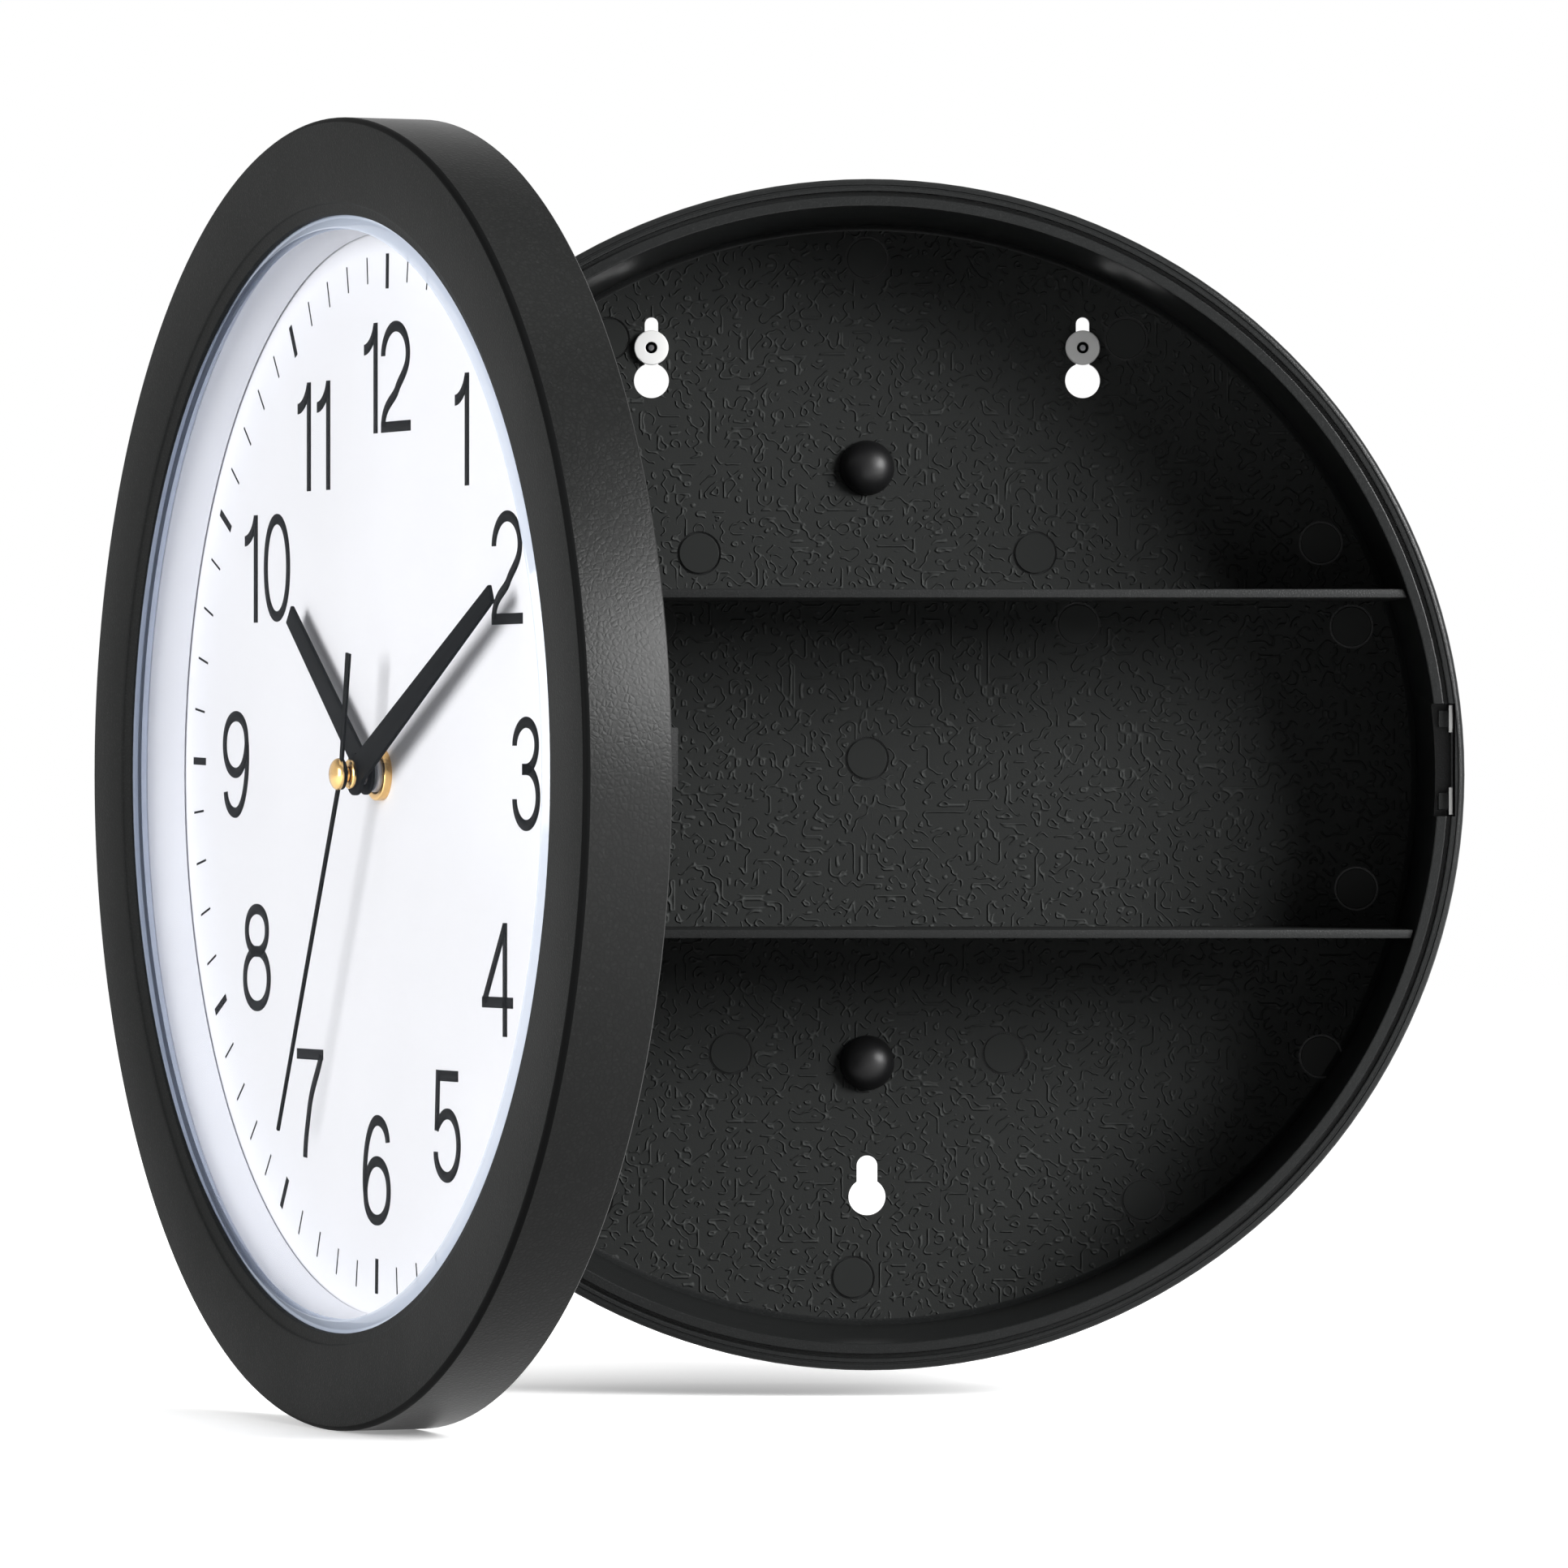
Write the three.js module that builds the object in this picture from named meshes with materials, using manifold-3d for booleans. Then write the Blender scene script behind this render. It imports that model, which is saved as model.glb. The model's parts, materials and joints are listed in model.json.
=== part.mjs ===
// A ten inch wall clock whose face is the door of a round box with two shelves.
// Millimetres, +Z up. The case axis is Y: the wall is at +Y and the room is at -Y.
// The door is first described shut, then turned about its hinge to where it stands open.

import * as THREE from 'three';
import { mergeVertices } from 'three/addons/utils/BufferGeometryUtils.js';
import Module from 'manifold-3d';

const wasm = await Module();
wasm.setup();

// Fits and facets
const FIT = 0.3; // gap between pieces that touch
const RUN = 0.3; // gap round a turning piece
const RING_STEPS = 64;
const PIN_STEPS = 16;
const SMALL_STEPS = 12; // screws, posts and arbors
const HUB_STEPS = 24; // wheels, bosses and tubes
const DOME_STEPS = 4; // from the crown of a dome to its edge
const CUT_OVER = 1; // how far a cut runs past what it cuts

// Door opening, degrees from shut
const OPEN_ANGLE = 65.5;

// Case
const CASE_R = 121.5;
const CASE_DEPTH = 50;
const PANEL_T = 2.5;
const WALL_T = 2.4;
const WALL_DRAFT = 1.4;
const RIM_W = 5.5;
const FLANGE_DEPTH = 7;
const FLANGE_STEP = 0.4;
const FLANGE_ROUND = 1.6;
const LIP_W = 0.9;
const GROOVE_W = 0.8;
const GROOVE_DEPTH = 2.2;
const RING_DROP = 0.8;
const BACK_ROUND = 2.4;
const INNER_ROUND = 1.2;

// Shelves
const SHELF_T = 1.8;
const SHELF_UP_Z = 37;
const SHELF_LOW_Z = -32.5;
const SHELF_SETBACK = 1.2;

// Hanging holes and what sits in them
const KEYHOLE_R = 3.85;
const KEYHOLE_SLOT_W = 4.3;
const KEYHOLE_RISE = 6.5;
const KEYHOLE_INSET = 33.5; // from the outside of the case
const HANGER_INSET = 21.8;
const HANGER_ANGLE = 26.8; // either side of twelve
const HANGER_HOLE_R = 3.65;
const HANGER_DROP = 6.8;
const HANGER_SLOT_W = 2.8;
const HANGER_RISE = 5;
const HANGER_HEAD_R = 3.6;
const HANGER_HEAD_T = 1.4;
const HANGER_SCREW_R = 0.9;
const HANGER_SCREW_HEAD_R = 1.5;
const HANGER_SINK = 0.5; // seat of the screw head in the button
const HANGER_SCREW_SHANK = 0.4;

// Rubber bumpers
const BUMPER_R = 5.7;
const BUMPER_H = 4.6;
const BUMPER_PLUG_R = 2;
const BUMPER_UP_INSET = 57.5; // from the outside of the case
const BUMPER_LOW_INSET = 61.5;

// Hinge
const HINGE_INSET = 1.9; // axis inside the case radius
const HINGE_BACK = 21.5; // axis behind the front plane of the case
const EYE_R = 3.4;
const PIN_R = 1.5;
const PIN_HEAD_R = 2.4;
const PIN_HEAD_T = 1;
const ARM_H = 8.6;
const ARM_T = 4.4;
const ARM_Z = 23;
const LUG_H = 4.5;
const LUG_ROOT = 12.7; // how far the lug's web reaches in from the axis, into the wall
const HINGE_RUN = 0.5;

// Latch
const LATCH_Z = 3;
const POCKET_H = 23;
const POCKET_W = 3.5;
const POCKET_DEPTH = 5.4;
const KEEPER_T = 0.9;
const KEEPER_END_H = 3.4;
const KEEPER_LIP = 0.7;
const TONGUE_H = 11;
const TONGUE_T = 0.9;
const TONGUE_REACH = 4.2;

// Door shell
const SEAM = 0.8;
const DOOR_OVERHANG = 5.5;
const SKIRT_T = 2.4;
const BEZEL_W = 16.6;
const BEZEL_T = 2.2;
const BEZEL_ROUND = 2.4;
const LIP_STEP_W = 2.2;
const LIP_DROP = 1.1;
const LIP_EDGE = 0.6;

// Lens, surround and dial
const LENS_T = 1.8;
const LENS_RISE = 4.6;
const LENS_FLANK_W = 2;
const LENS_FLANK_H = 2;
const LENS_SEAT_W = 3.6;
const LENS_RIB_T = 1.2;
const SURROUND_T = 1.4;
const SURROUND_DEPTH = 7.2;
const SURROUND_IN = 2.4;
const SURROUND_FLANGE_W = 5.4;
const DIAL_T = 1.4;
const DIAL_BORDER = 2.4;

// Back cover of the door
const COVER_T = 2.1;
const COVER_RIB_H = 1.7;
const COVER_RIB_T = 2;
const SCREW_COUNT = 6;
const SCREW_R = 1.4;
const SCREW_L = 9;
const SCREW_HEAD_R = 2.8;
const SCREW_HEAD_T = 1.6;
const SCREW_INSET = 7;
const SCREW_PAD_T = 1.5;
const SCREW_PAD_R = 4.2;
const BOSS_R = 3.4;

// Movement
const MOVE_WALL = 1.4;
const MOVE_COVER_T = 1.6;
const BATTERY_R = 7.1;
const BATTERY_L = 49.2;
const NUB_R = 2.7;
const NUB_L = 1.3;
const CONTACT_T = 0.5;
const CONTACT_W = 9;
const LEAF_H = 5;
const LEAF_OUT = 0.7;
const CONTACT_SHORT = 1.4; // how far the contact sheet ends below the top of the cell
const WHEEL_T = 1;
const PLATE_T = 1.2;
const POST_R = 1.6;
const ARBOR_R = 0.5;

// Wheel train: distance between arbors, and turns of each pinion to one of its wheel
const MOTION_SPAN = 6.8;
const THIRD_SPAN = 9;
const STEP_SPAN = 8.4;
const ROTOR_SPAN = 6;
const CANNON_TO_MOTION = 3;
const MOTION_TO_HOUR = 4;
const SECOND_TO_THIRD = 7.5;
const THIRD_TO_CENTRE = 8;
const STEP_TO_SECOND = 6;
const ROTOR_TO_STEP = 5;
const ROTOR_R = 2.6;
const THIRD_ANGLE = 15;
const STEP_ANGLE = 120;
const ROTOR_ANGLE = 150;
const MOTION_ANGLE = 180;
const KNOB_ANGLE = 225;
const KNOB_R = 6.5;
const KNOB_T = 2.8;
const KNOB_STEM_R = 1;

// Electrical pieces of the movement
const COIL_R = 3;
const COIL_L = 28;
const COIL_FLANGE_T = 1.2;
const COIL_FLANGE_RISE = 0.6;
const BOARD_W = 8;
const BOARD_H = 25;
const BOARD_T = 1;
const CRYSTAL_R = 1;
const CRYSTAL_L = 6;
const STATOR_T = 0.8;
const STATOR_H = 10.6;
const STATOR_W = 15;
const STATOR_SIDE = 1.6; // metal beside the rotor's hole
const STATOR_FOOT = 1.4; // metal below it

// Arbor stack and hands
const TUBE_WALL = 0.4;
const HOUR_TUBE_WALL = 0.6;
const BUSH_WALL = 1.1;
const BUSH_OUT = 2.2;
const NUT_WALL = 1.3;
const NUT_T = 1.6;
const HAND_T = 0.8;
const HOUR_HAND_AT = 3;
const MINUTE_HAND_AT = 5.2;
const SECOND_HAND_AT = 8.4;
const HOUR_LENGTH = 50.8;
const HOUR_ROOT_W = 5.5;
const HOUR_TIP_W = 4.2;
const HOUR_BOSS_R = 4;
const MINUTE_LENGTH = 75.8;
const MINUTE_ROOT_W = 6;
const MINUTE_TIP_W = 3.5;
const MINUTE_BOSS_R = 4.1;
const HAND_NUT_R = 2.85;
const HAND_NUT_T = 0.9;
const SECOND_LENGTH = 77.3;
const SECOND_TAIL = 23.7;
const SECOND_TAIL_W = 2;
const SECOND_TAIL_BEND = 15.7; // degrees the tail is set back from a straight line
const SECOND_ROOT_W = 1.2;
const SECOND_TIP_W = 0.8;
const SECOND_T = 0.5;
const SECOND_BOSS_R = 1.6;
const CAP_R = 3.1;
const CAP_T = 1.9;

// Where the hands point, degrees clockwise from twelve
const HOUR_ANGLE = 308.5;
const MINUTE_ANGLE = 63.4;
const SECOND_ANGLE = 205.2;

// Sizes that follow
const INNER_R = CASE_R - RIM_W;
const PANEL_Y = CASE_DEPTH - PANEL_T;
const DRAFT_PER_MM = WALL_DRAFT / PANEL_Y;
const WALL_OUT_R = INNER_R + WALL_T;
const HINGE_X = HINGE_INSET - CASE_R;
const KEYHOLE_LOW_Z = KEYHOLE_INSET - CASE_R;
const [HANGER_X, HANGER_Z] = onFace(CASE_R - HANGER_INSET, HANGER_ANGLE);
const BUMPER_UP_Z = CASE_R - BUMPER_UP_INSET;
const BUMPER_LOW_Z = BUMPER_LOW_INSET - CASE_R;
const DOOR_R = CASE_R + DOOR_OVERHANG;
const OPENING_R = DOOR_R - BEZEL_W;
const SIGHT_R = OPENING_R - LIP_STEP_W;
const LENS_R = SIGHT_R + LENS_SEAT_W;
const LENS_AT = BEZEL_T + FIT;
const SURROUND_AT = LENS_AT + LENS_T + FIT;
const DIAL_AT = SURROUND_AT + SURROUND_DEPTH + FIT;
const MOVE_AT = DIAL_AT + DIAL_T + FIT;
const COVER_AT = MOVE_AT + COVER_RIB_H;
const DOOR_DEPTH = COVER_AT + COVER_T;
const FRONT_Y = -SEAM - DOOR_DEPTH;
const SURROUND_FRONT_R = SIGHT_R - LIP_EDGE;
const DIAL_SIGHT_R = SURROUND_FRONT_R - SURROUND_IN;
const DIAL_R = DIAL_SIGHT_R + SURROUND_T + DIAL_BORDER;
const SKIRT_IN_R = DOOR_R - SKIRT_T;
const COVER_R = SKIRT_IN_R - FIT;
const SCREW_CIRCLE_R = DOOR_R - SCREW_INSET;
const MOVE_W = BATTERY_L + NUB_L + 2 * (MOVE_WALL + CONTACT_T + LEAF_OUT) + FIT;
const MOVE_DEPTH = MOVE_WALL + 2 * BATTERY_R + 3 * FIT;
const ARBOR_HOLE_R = ARBOR_R + RUN;
const MINUTE_TUBE_R = ARBOR_HOLE_R + TUBE_WALL;
const HOUR_HOLE_R = MINUTE_TUBE_R + RUN;
const HOUR_TUBE_R = HOUR_HOLE_R + HOUR_TUBE_WALL;
const BUSH_HOLE_R = HOUR_TUBE_R + RUN;
const BUSH_R = BUSH_HOLE_R + BUSH_WALL;
const pinionOf = (span, ratio) => span / (1 + ratio);
const CANNON_PITCH_R = pinionOf(MOTION_SPAN, CANNON_TO_MOTION);
const MOTION_PITCH_R = MOTION_SPAN - CANNON_PITCH_R;
const MOTION_PINION_PITCH_R = pinionOf(MOTION_SPAN, MOTION_TO_HOUR);
const HOUR_PITCH_R = MOTION_SPAN - MOTION_PINION_PITCH_R;
const SECOND_PINION_PITCH_R = pinionOf(THIRD_SPAN, SECOND_TO_THIRD);
const THIRD_PITCH_R = THIRD_SPAN - SECOND_PINION_PITCH_R;
const THIRD_PINION_PITCH_R = pinionOf(THIRD_SPAN, THIRD_TO_CENTRE);
const CENTRE_PITCH_R = THIRD_SPAN - THIRD_PINION_PITCH_R;
const STEP_PINION_PITCH_R = pinionOf(STEP_SPAN, STEP_TO_SECOND);
const SECOND_PITCH_R = STEP_SPAN - STEP_PINION_PITCH_R;
const ROTOR_PINION_PITCH_R = pinionOf(ROTOR_SPAN, ROTOR_TO_STEP);
const STEP_PITCH_R = ROTOR_SPAN - ROTOR_PINION_PITCH_R;
const TEETH_GAP = RUN / 2; // each plain wheel stops this short of its pitch circle

// Materials
const plastic = (color, roughness = 0.6) => new THREE.MeshStandardMaterial({ color, roughness });
const metal = (color, roughness = 0.35) => new THREE.MeshStandardMaterial({ color, roughness, metalness: 1 });
const caseBlack = plastic(0x1c1d1d, 0.55);
const doorBlack = plastic(0x2b2c2b, 0.6);
const handBlack = plastic(0x161617, 0.45);
const rubber = plastic(0x0d0d0e, 0.4);
const white = plastic(0xe9eaf0, 0.5);
const dialWhite = plastic(0xf6f6f7, 0.7);
const natural = plastic(0xd9d9d4, 0.5);
const sleeve = plastic(0x35566b, 0.4);
const boardGreen = plastic(0x1f5a3a, 0.5);
const brass = metal(0xc79a4b, 0.3);
const steel = metal(0xb9bcc0, 0.35);
const copper = metal(0xa5623a, 0.4);
const clear = new THREE.MeshStandardMaterial({
  color: 0xf4f8ff, roughness: 0.05, transparent: true, opacity: 0.2,
});

// Solids

function signedVolume(position, index) {
  const [a, b, c] = [new THREE.Vector3(), new THREE.Vector3(), new THREE.Vector3()];
  let six = 0;
  for (let i = 0; i < index.count; i += 3) {
    a.fromBufferAttribute(position, index.getX(i));
    b.fromBufferAttribute(position, index.getX(i + 1));
    c.fromBufferAttribute(position, index.getX(i + 2));
    six += a.dot(b.cross(c));
  }
  return six / 6;
}

function solid(geometry) {
  const bare = new THREE.BufferGeometry();
  bare.setAttribute('position', geometry.getAttribute('position').clone());
  if (geometry.index) bare.setIndex(geometry.index.clone());
  const merged = mergeVertices(bare, 1e-4);
  const triangles = Uint32Array.from(merged.index.array);
  if (signedVolume(merged.getAttribute('position'), merged.index) < 0) {
    for (let i = 0; i < triangles.length; i += 3) {
      [triangles[i], triangles[i + 1]] = [triangles[i + 1], triangles[i]];
    }
  }
  const flat = triangles.filter((v, i) => {
    const t = i - (i % 3);
    const [p, q, r] = [triangles[t], triangles[t + 1], triangles[t + 2]];
    return p !== q && q !== r && r !== p;
  });
  return new wasm.Manifold(new wasm.Mesh({
    numProp: 3,
    vertProperties: Float32Array.from(merged.getAttribute('position').array),
    triVerts: flat,
  }));
}

function geometryOf(body) {
  const mesh = body.getMesh();
  const geometry = new THREE.BufferGeometry();
  geometry.setAttribute('position', new THREE.BufferAttribute(new Float32Array(mesh.vertProperties), 3));
  geometry.setIndex(new THREE.BufferAttribute(new Uint32Array(mesh.triVerts), 1));
  geometry.computeVertexNormals();
  return geometry;
}

const join = (...bodies) => bodies.reduce((all, one) => all.add(one));
const cut = (body, ...tools) => tools.reduce((left, tool) => left.subtract(tool), body);

// A turned solid about the Y axis from [radius, y] points, closed on itself or on the axis.
function turned(points, steps = RING_STEPS) {
  const outline = points.map(([r, y]) => new THREE.Vector2(r, y));
  const last = outline[outline.length - 1];
  const onAxis = outline[0].x === 0 && last.x === 0;
  if (!onAxis) outline.push(outline[0].clone());
  return solid(new THREE.LatheGeometry(outline, steps, Math.PI / steps));
}

// A round bar or tube along Y, from one y to another.
function barY(radius, from, to, steps = PIN_STEPS, x = 0, z = 0) {
  const bar = turned([[0, from], [radius, from], [radius, to], [0, to]], steps);
  return bar.translate([x, 0, z]);
}

function tubeY(outer, inner, from, to, steps = PIN_STEPS) {
  return turned([[inner, from], [outer, from], [outer, to], [inner, to]], steps);
}

function barZ(radius, x, y, from, to, steps = PIN_STEPS) {
  const bar = new THREE.CylinderGeometry(radius, radius, to - from, steps);
  bar.rotateX(Math.PI / 2);
  bar.translate(x, y, (from + to) / 2);
  return solid(bar);
}

function block(x0, x1, y0, y1, z0, z1) {
  const box = new THREE.BoxGeometry(x1 - x0, y1 - y0, z1 - z0);
  box.translate((x0 + x1) / 2, (y0 + y1) / 2, (z0 + z1) / 2);
  return solid(box);
}

// A flat shape drawn in x and z, from one y to another.
function plate(shape, from, to, curveSteps = 8) {
  const flat = new THREE.ExtrudeGeometry(shape, {
    depth: to - from, bevelEnabled: false, curveSegments: curveSteps,
  });
  flat.rotateX(Math.PI / 2);
  flat.translate(0, to, 0);
  return solid(flat);
}

// Points of a quarter round from one angle to another, in [radius, y].
function round(r, y, radius, fromDeg, toDeg, steps = 2) {
  return Array.from({ length: steps + 1 }, (_, i) => {
    const angle = THREE.MathUtils.degToRad(fromDeg + ((toDeg - fromDeg) * i) / steps);
    return [r + radius * Math.cos(angle), y + radius * Math.sin(angle)];
  });
}

// Direction on the face: degrees clockwise from twelve, seen from the room.
function onFace(radius, clockDeg) {
  const angle = THREE.MathUtils.degToRad(clockDeg);
  return [radius * Math.sin(angle), radius * Math.cos(angle)];
}

// Direction from an arbor, degrees anticlockwise from +X, seen from the room.
function fromArbor([x, z], distance, deg) {
  const angle = THREE.MathUtils.degToRad(deg);
  return [x + distance * Math.cos(angle), z + distance * Math.sin(angle)];
}

function named(name, body, material, parent) {
  const mesh = new THREE.Mesh(geometryOf(body), material);
  mesh.name = name;
  parent.add(mesh);
  return mesh;
}

// Case

const wallInR = (y) => INNER_R - DRAFT_PER_MM * y;

// The room inside the case, less a gap all round.
function caseRoom(gap, frontY) {
  const back = PANEL_Y - gap;
  return turned([
    [0, frontY],
    [wallInR(frontY) - gap, frontY],
    [wallInR(back - INNER_ROUND) - gap, back - INNER_ROUND],
    [wallInR(back) - gap - INNER_ROUND, back],
    [0, back],
  ]);
}

function keyholeShape(x, holeZ, holeR, slotW, slotTopZ) {
  const half = slotW / 2;
  const shape = new THREE.Shape();
  const start = Math.asin(half / holeR);
  shape.absarc(x, holeZ, holeR, Math.PI / 2 + start, Math.PI * 2.5 - start, false);
  shape.absarc(x, slotTopZ - half, half, 0, Math.PI, false);
  shape.closePath();
  return shape;
}

function hingeEyes() {
  const low = ARM_Z - ARM_H / 2 - HINGE_RUN - LUG_H;
  const high = ARM_Z + ARM_H / 2 + HINGE_RUN + LUG_H;
  return { low, high };
}

function caseLug(z0, z1) {
  const web = block(HINGE_X, HINGE_X + LUG_ROOT, HINGE_BACK - EYE_R, HINGE_BACK + EYE_R, z0, z1);
  const eye = barZ(EYE_R, HINGE_X, HINGE_BACK, z0, z1);
  return join(web, eye);
}

function makeCase(parent) {
  const lipOut = CASE_R - FLANGE_ROUND;
  const lipIn = lipOut - LIP_W;
  const grooveIn = lipIn - GROOVE_W;
  const ringY = FLANGE_STEP + RING_DROP;
  const wallOutBack = wallInR(CASE_DEPTH) + WALL_T;
  let shell = turned([
    [0, CASE_DEPTH],
    ...round(wallOutBack - BACK_ROUND, CASE_DEPTH - BACK_ROUND, BACK_ROUND, 90, 0),
    [WALL_OUT_R, FLANGE_DEPTH],
    [CASE_R, FLANGE_DEPTH],
    ...round(lipOut, FLANGE_STEP + FLANGE_ROUND, FLANGE_ROUND, 0, -90),
    [lipIn, FLANGE_STEP],
    [lipIn, FLANGE_STEP + GROOVE_DEPTH],
    [grooveIn, FLANGE_STEP + GROOVE_DEPTH],
    [grooveIn, ringY],
    [wallInR(ringY), ringY],
    [wallInR(PANEL_Y - INNER_ROUND), PANEL_Y - INNER_ROUND],
    [wallInR(PANEL_Y) - INNER_ROUND, PANEL_Y],
    [0, PANEL_Y],
  ]);
  const { low, high } = hingeEyes();
  const room = caseRoom(0, -CUT_OVER);
  for (const side of [-1, 1]) {
    const lowLug = caseLug(side * low, side * (low + LUG_H));
    const highLug = caseLug(side * (high - LUG_H), side * high);
    shell = join(shell, cut(lowLug, room), cut(highLug, room));
  }
  const reach = CASE_R + CUT_OVER;
  for (const side of [-1, 1]) {
    const z0 = side * ARM_Z - ARM_H / 2 - HINGE_RUN;
    const z1 = side * ARM_Z + ARM_H / 2 + HINGE_RUN;
    const bayX = HINGE_X + EYE_R + HINGE_RUN;
    const bayY = HINGE_BACK + EYE_R + HINGE_RUN;
    shell = cut(shell, block(-reach - EYE_R, bayX, -CUT_OVER, bayY, z0, z1));
  }
  shell = cut(shell, barZ(PIN_R + FIT, HINGE_X, HINGE_BACK, -2 * ARM_Z, 2 * ARM_Z));
  const slotTopLow = KEYHOLE_LOW_Z + KEYHOLE_RISE + KEYHOLE_SLOT_W / 2;
  const keyhole = keyholeShape(0, KEYHOLE_LOW_Z, KEYHOLE_R, KEYHOLE_SLOT_W, slotTopLow);
  shell = cut(
    shell,
    plate(keyhole, PANEL_Y - CUT_OVER, CASE_DEPTH + CUT_OVER),
    block(INNER_R - CUT_OVER, INNER_R + POCKET_W, -CUT_OVER, ringY + POCKET_DEPTH,
      LATCH_Z - POCKET_H / 2, LATCH_Z + POCKET_H / 2),
  );
  for (const side of [-1, 1]) {
    const slotTop = HANGER_Z + HANGER_RISE + HANGER_SLOT_W / 2;
    const hole = keyholeShape(side * HANGER_X, HANGER_Z - HANGER_DROP, HANGER_HOLE_R, HANGER_SLOT_W, slotTop);
    shell = cut(shell, plate(hole, PANEL_Y - CUT_OVER, CASE_DEPTH + CUT_OVER));
  }
  for (const z of [BUMPER_UP_Z, BUMPER_LOW_Z]) {
    shell = cut(shell, barY(BUMPER_PLUG_R + FIT, PANEL_Y - CUT_OVER, CASE_DEPTH + CUT_OVER, PIN_STEPS, 0, z));
  }
  named('case_shell', shell, caseBlack, parent);
}

function makeShelves(parent) {
  const front = FLANGE_STEP + RING_DROP + SHELF_SETBACK;
  const room = caseRoom(FIT, front);
  for (const [name, z] of [['shelf_upper', SHELF_UP_Z], ['shelf_lower', SHELF_LOW_Z]]) {
    const slab = block(-CASE_R, CASE_R, 0, CASE_DEPTH, z - SHELF_T / 2, z + SHELF_T / 2);
    named(name, slab.intersect(room), caseBlack, parent);
  }
}

// Points of a dome from its crown to its edge, in [radius, y], its crown toward the room.
function dome(radius, rise, seat) {
  return Array.from({ length: DOME_STEPS + 1 }, (_, i) => {
    const angle = (Math.PI / 2) * (i / DOME_STEPS);
    return [i === 0 ? 0 : radius * Math.sin(angle), seat - rise * Math.cos(angle)];
  });
}

function makeBumpers(parent) {
  for (const [name, z] of [['bumper_upper', BUMPER_UP_Z], ['bumper_lower', BUMPER_LOW_Z]]) {
    const seat = PANEL_Y - FIT;
    const plugEnd = CASE_DEPTH - FIT;
    const body = turned([
      ...dome(BUMPER_R, BUMPER_H, seat),
      [BUMPER_PLUG_R, seat],
      [BUMPER_PLUG_R, plugEnd],
      [0, plugEnd],
    ], HUB_STEPS);
    named(name, body.translate([0, 0, z]), rubber, parent);
  }
}

// A flanged button gripped in the neck of each upper keyhole, with its screw.
function makeHangers(parent) {
  const headFront = PANEL_Y - FIT - HANGER_HEAD_T;
  const waist = HANGER_SLOT_W / 2 - FIT;
  for (const [side, x] of [['left', -HANGER_X], ['right', HANGER_X]]) {
    const head = barY(HANGER_HEAD_R, headFront, PANEL_Y - FIT, HUB_STEPS);
    const neck = barY(waist, PANEL_Y - FIT - HANGER_HEAD_T / 2, CASE_DEPTH - FIT, PIN_STEPS);
    const seatFloor = headFront + HANGER_SINK;
    const bore = barY(HANGER_SCREW_R + FIT, headFront - CUT_OVER, seatFloor + HANGER_SCREW_SHANK);
    const seat = barY(HANGER_SCREW_HEAD_R + FIT, headFront - CUT_OVER, seatFloor);
    const button = cut(join(head, neck), bore, seat);
    named(`hanger_${side}`, button.translate([x, 0, HANGER_Z]), white, parent);
    const screw = turned([
      [0, headFront - FIT],
      [HANGER_SCREW_HEAD_R, headFront - FIT],
      [HANGER_SCREW_HEAD_R, seatFloor - FIT],
      [HANGER_SCREW_R, seatFloor - FIT],
      [HANGER_SCREW_R, seatFloor - FIT + HANGER_SCREW_SHANK],
      [0, seatFloor - FIT + HANGER_SCREW_SHANK],
    ], SMALL_STEPS);
    named(`hanger_screw_${side}`, screw.translate([x, 0, HANGER_Z]), steel, parent);
  }
}

function makeHingePins(parent) {
  const { low, high } = hingeEyes();
  for (const [name, side] of [['hinge_pin_upper', 1], ['hinge_pin_lower', -1]]) {
    const top = side > 0 ? high : -low;
    const bottom = side > 0 ? low : -high;
    const shank = barZ(PIN_R, HINGE_X, HINGE_BACK, bottom, top + FIT + PIN_HEAD_T / 2);
    const head = barZ(PIN_HEAD_R, HINGE_X, HINGE_BACK, top + FIT, top + FIT + PIN_HEAD_T);
    named(name, join(shank, head), steel, parent);
  }
}

function makeKeeper(parent) {
  const front = FLANGE_STEP + RING_DROP;
  const back = front + POCKET_DEPTH - FIT;
  const outer = INNER_R + POCKET_W - FIT;
  const z0 = LATCH_Z - POCKET_H / 2 + FIT;
  const z1 = LATCH_Z + POCKET_H / 2 - FIT;
  const spine = block(outer - KEEPER_T, outer, front, back, z0, z1);
  const lip = block(outer - KEEPER_T - KEEPER_LIP, outer, front, front + KEEPER_T, z0, z1);
  const lowEnd = block(INNER_R + FLANGE_STEP, outer, front, back, z0, z0 + KEEPER_END_H);
  const highEnd = block(INNER_R + FLANGE_STEP, outer, front, back, z1 - KEEPER_END_H, z1);
  named('latch_keeper', join(spine, lip, lowEnd, highEnd), caseBlack, parent);
}

// Door shell

const depth = (d) => FRONT_Y + d;

function screwPlaces() {
  return Array.from({ length: SCREW_COUNT }, (_, i) => onFace(SCREW_CIRCLE_R, (360 * i) / SCREW_COUNT));
}

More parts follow.
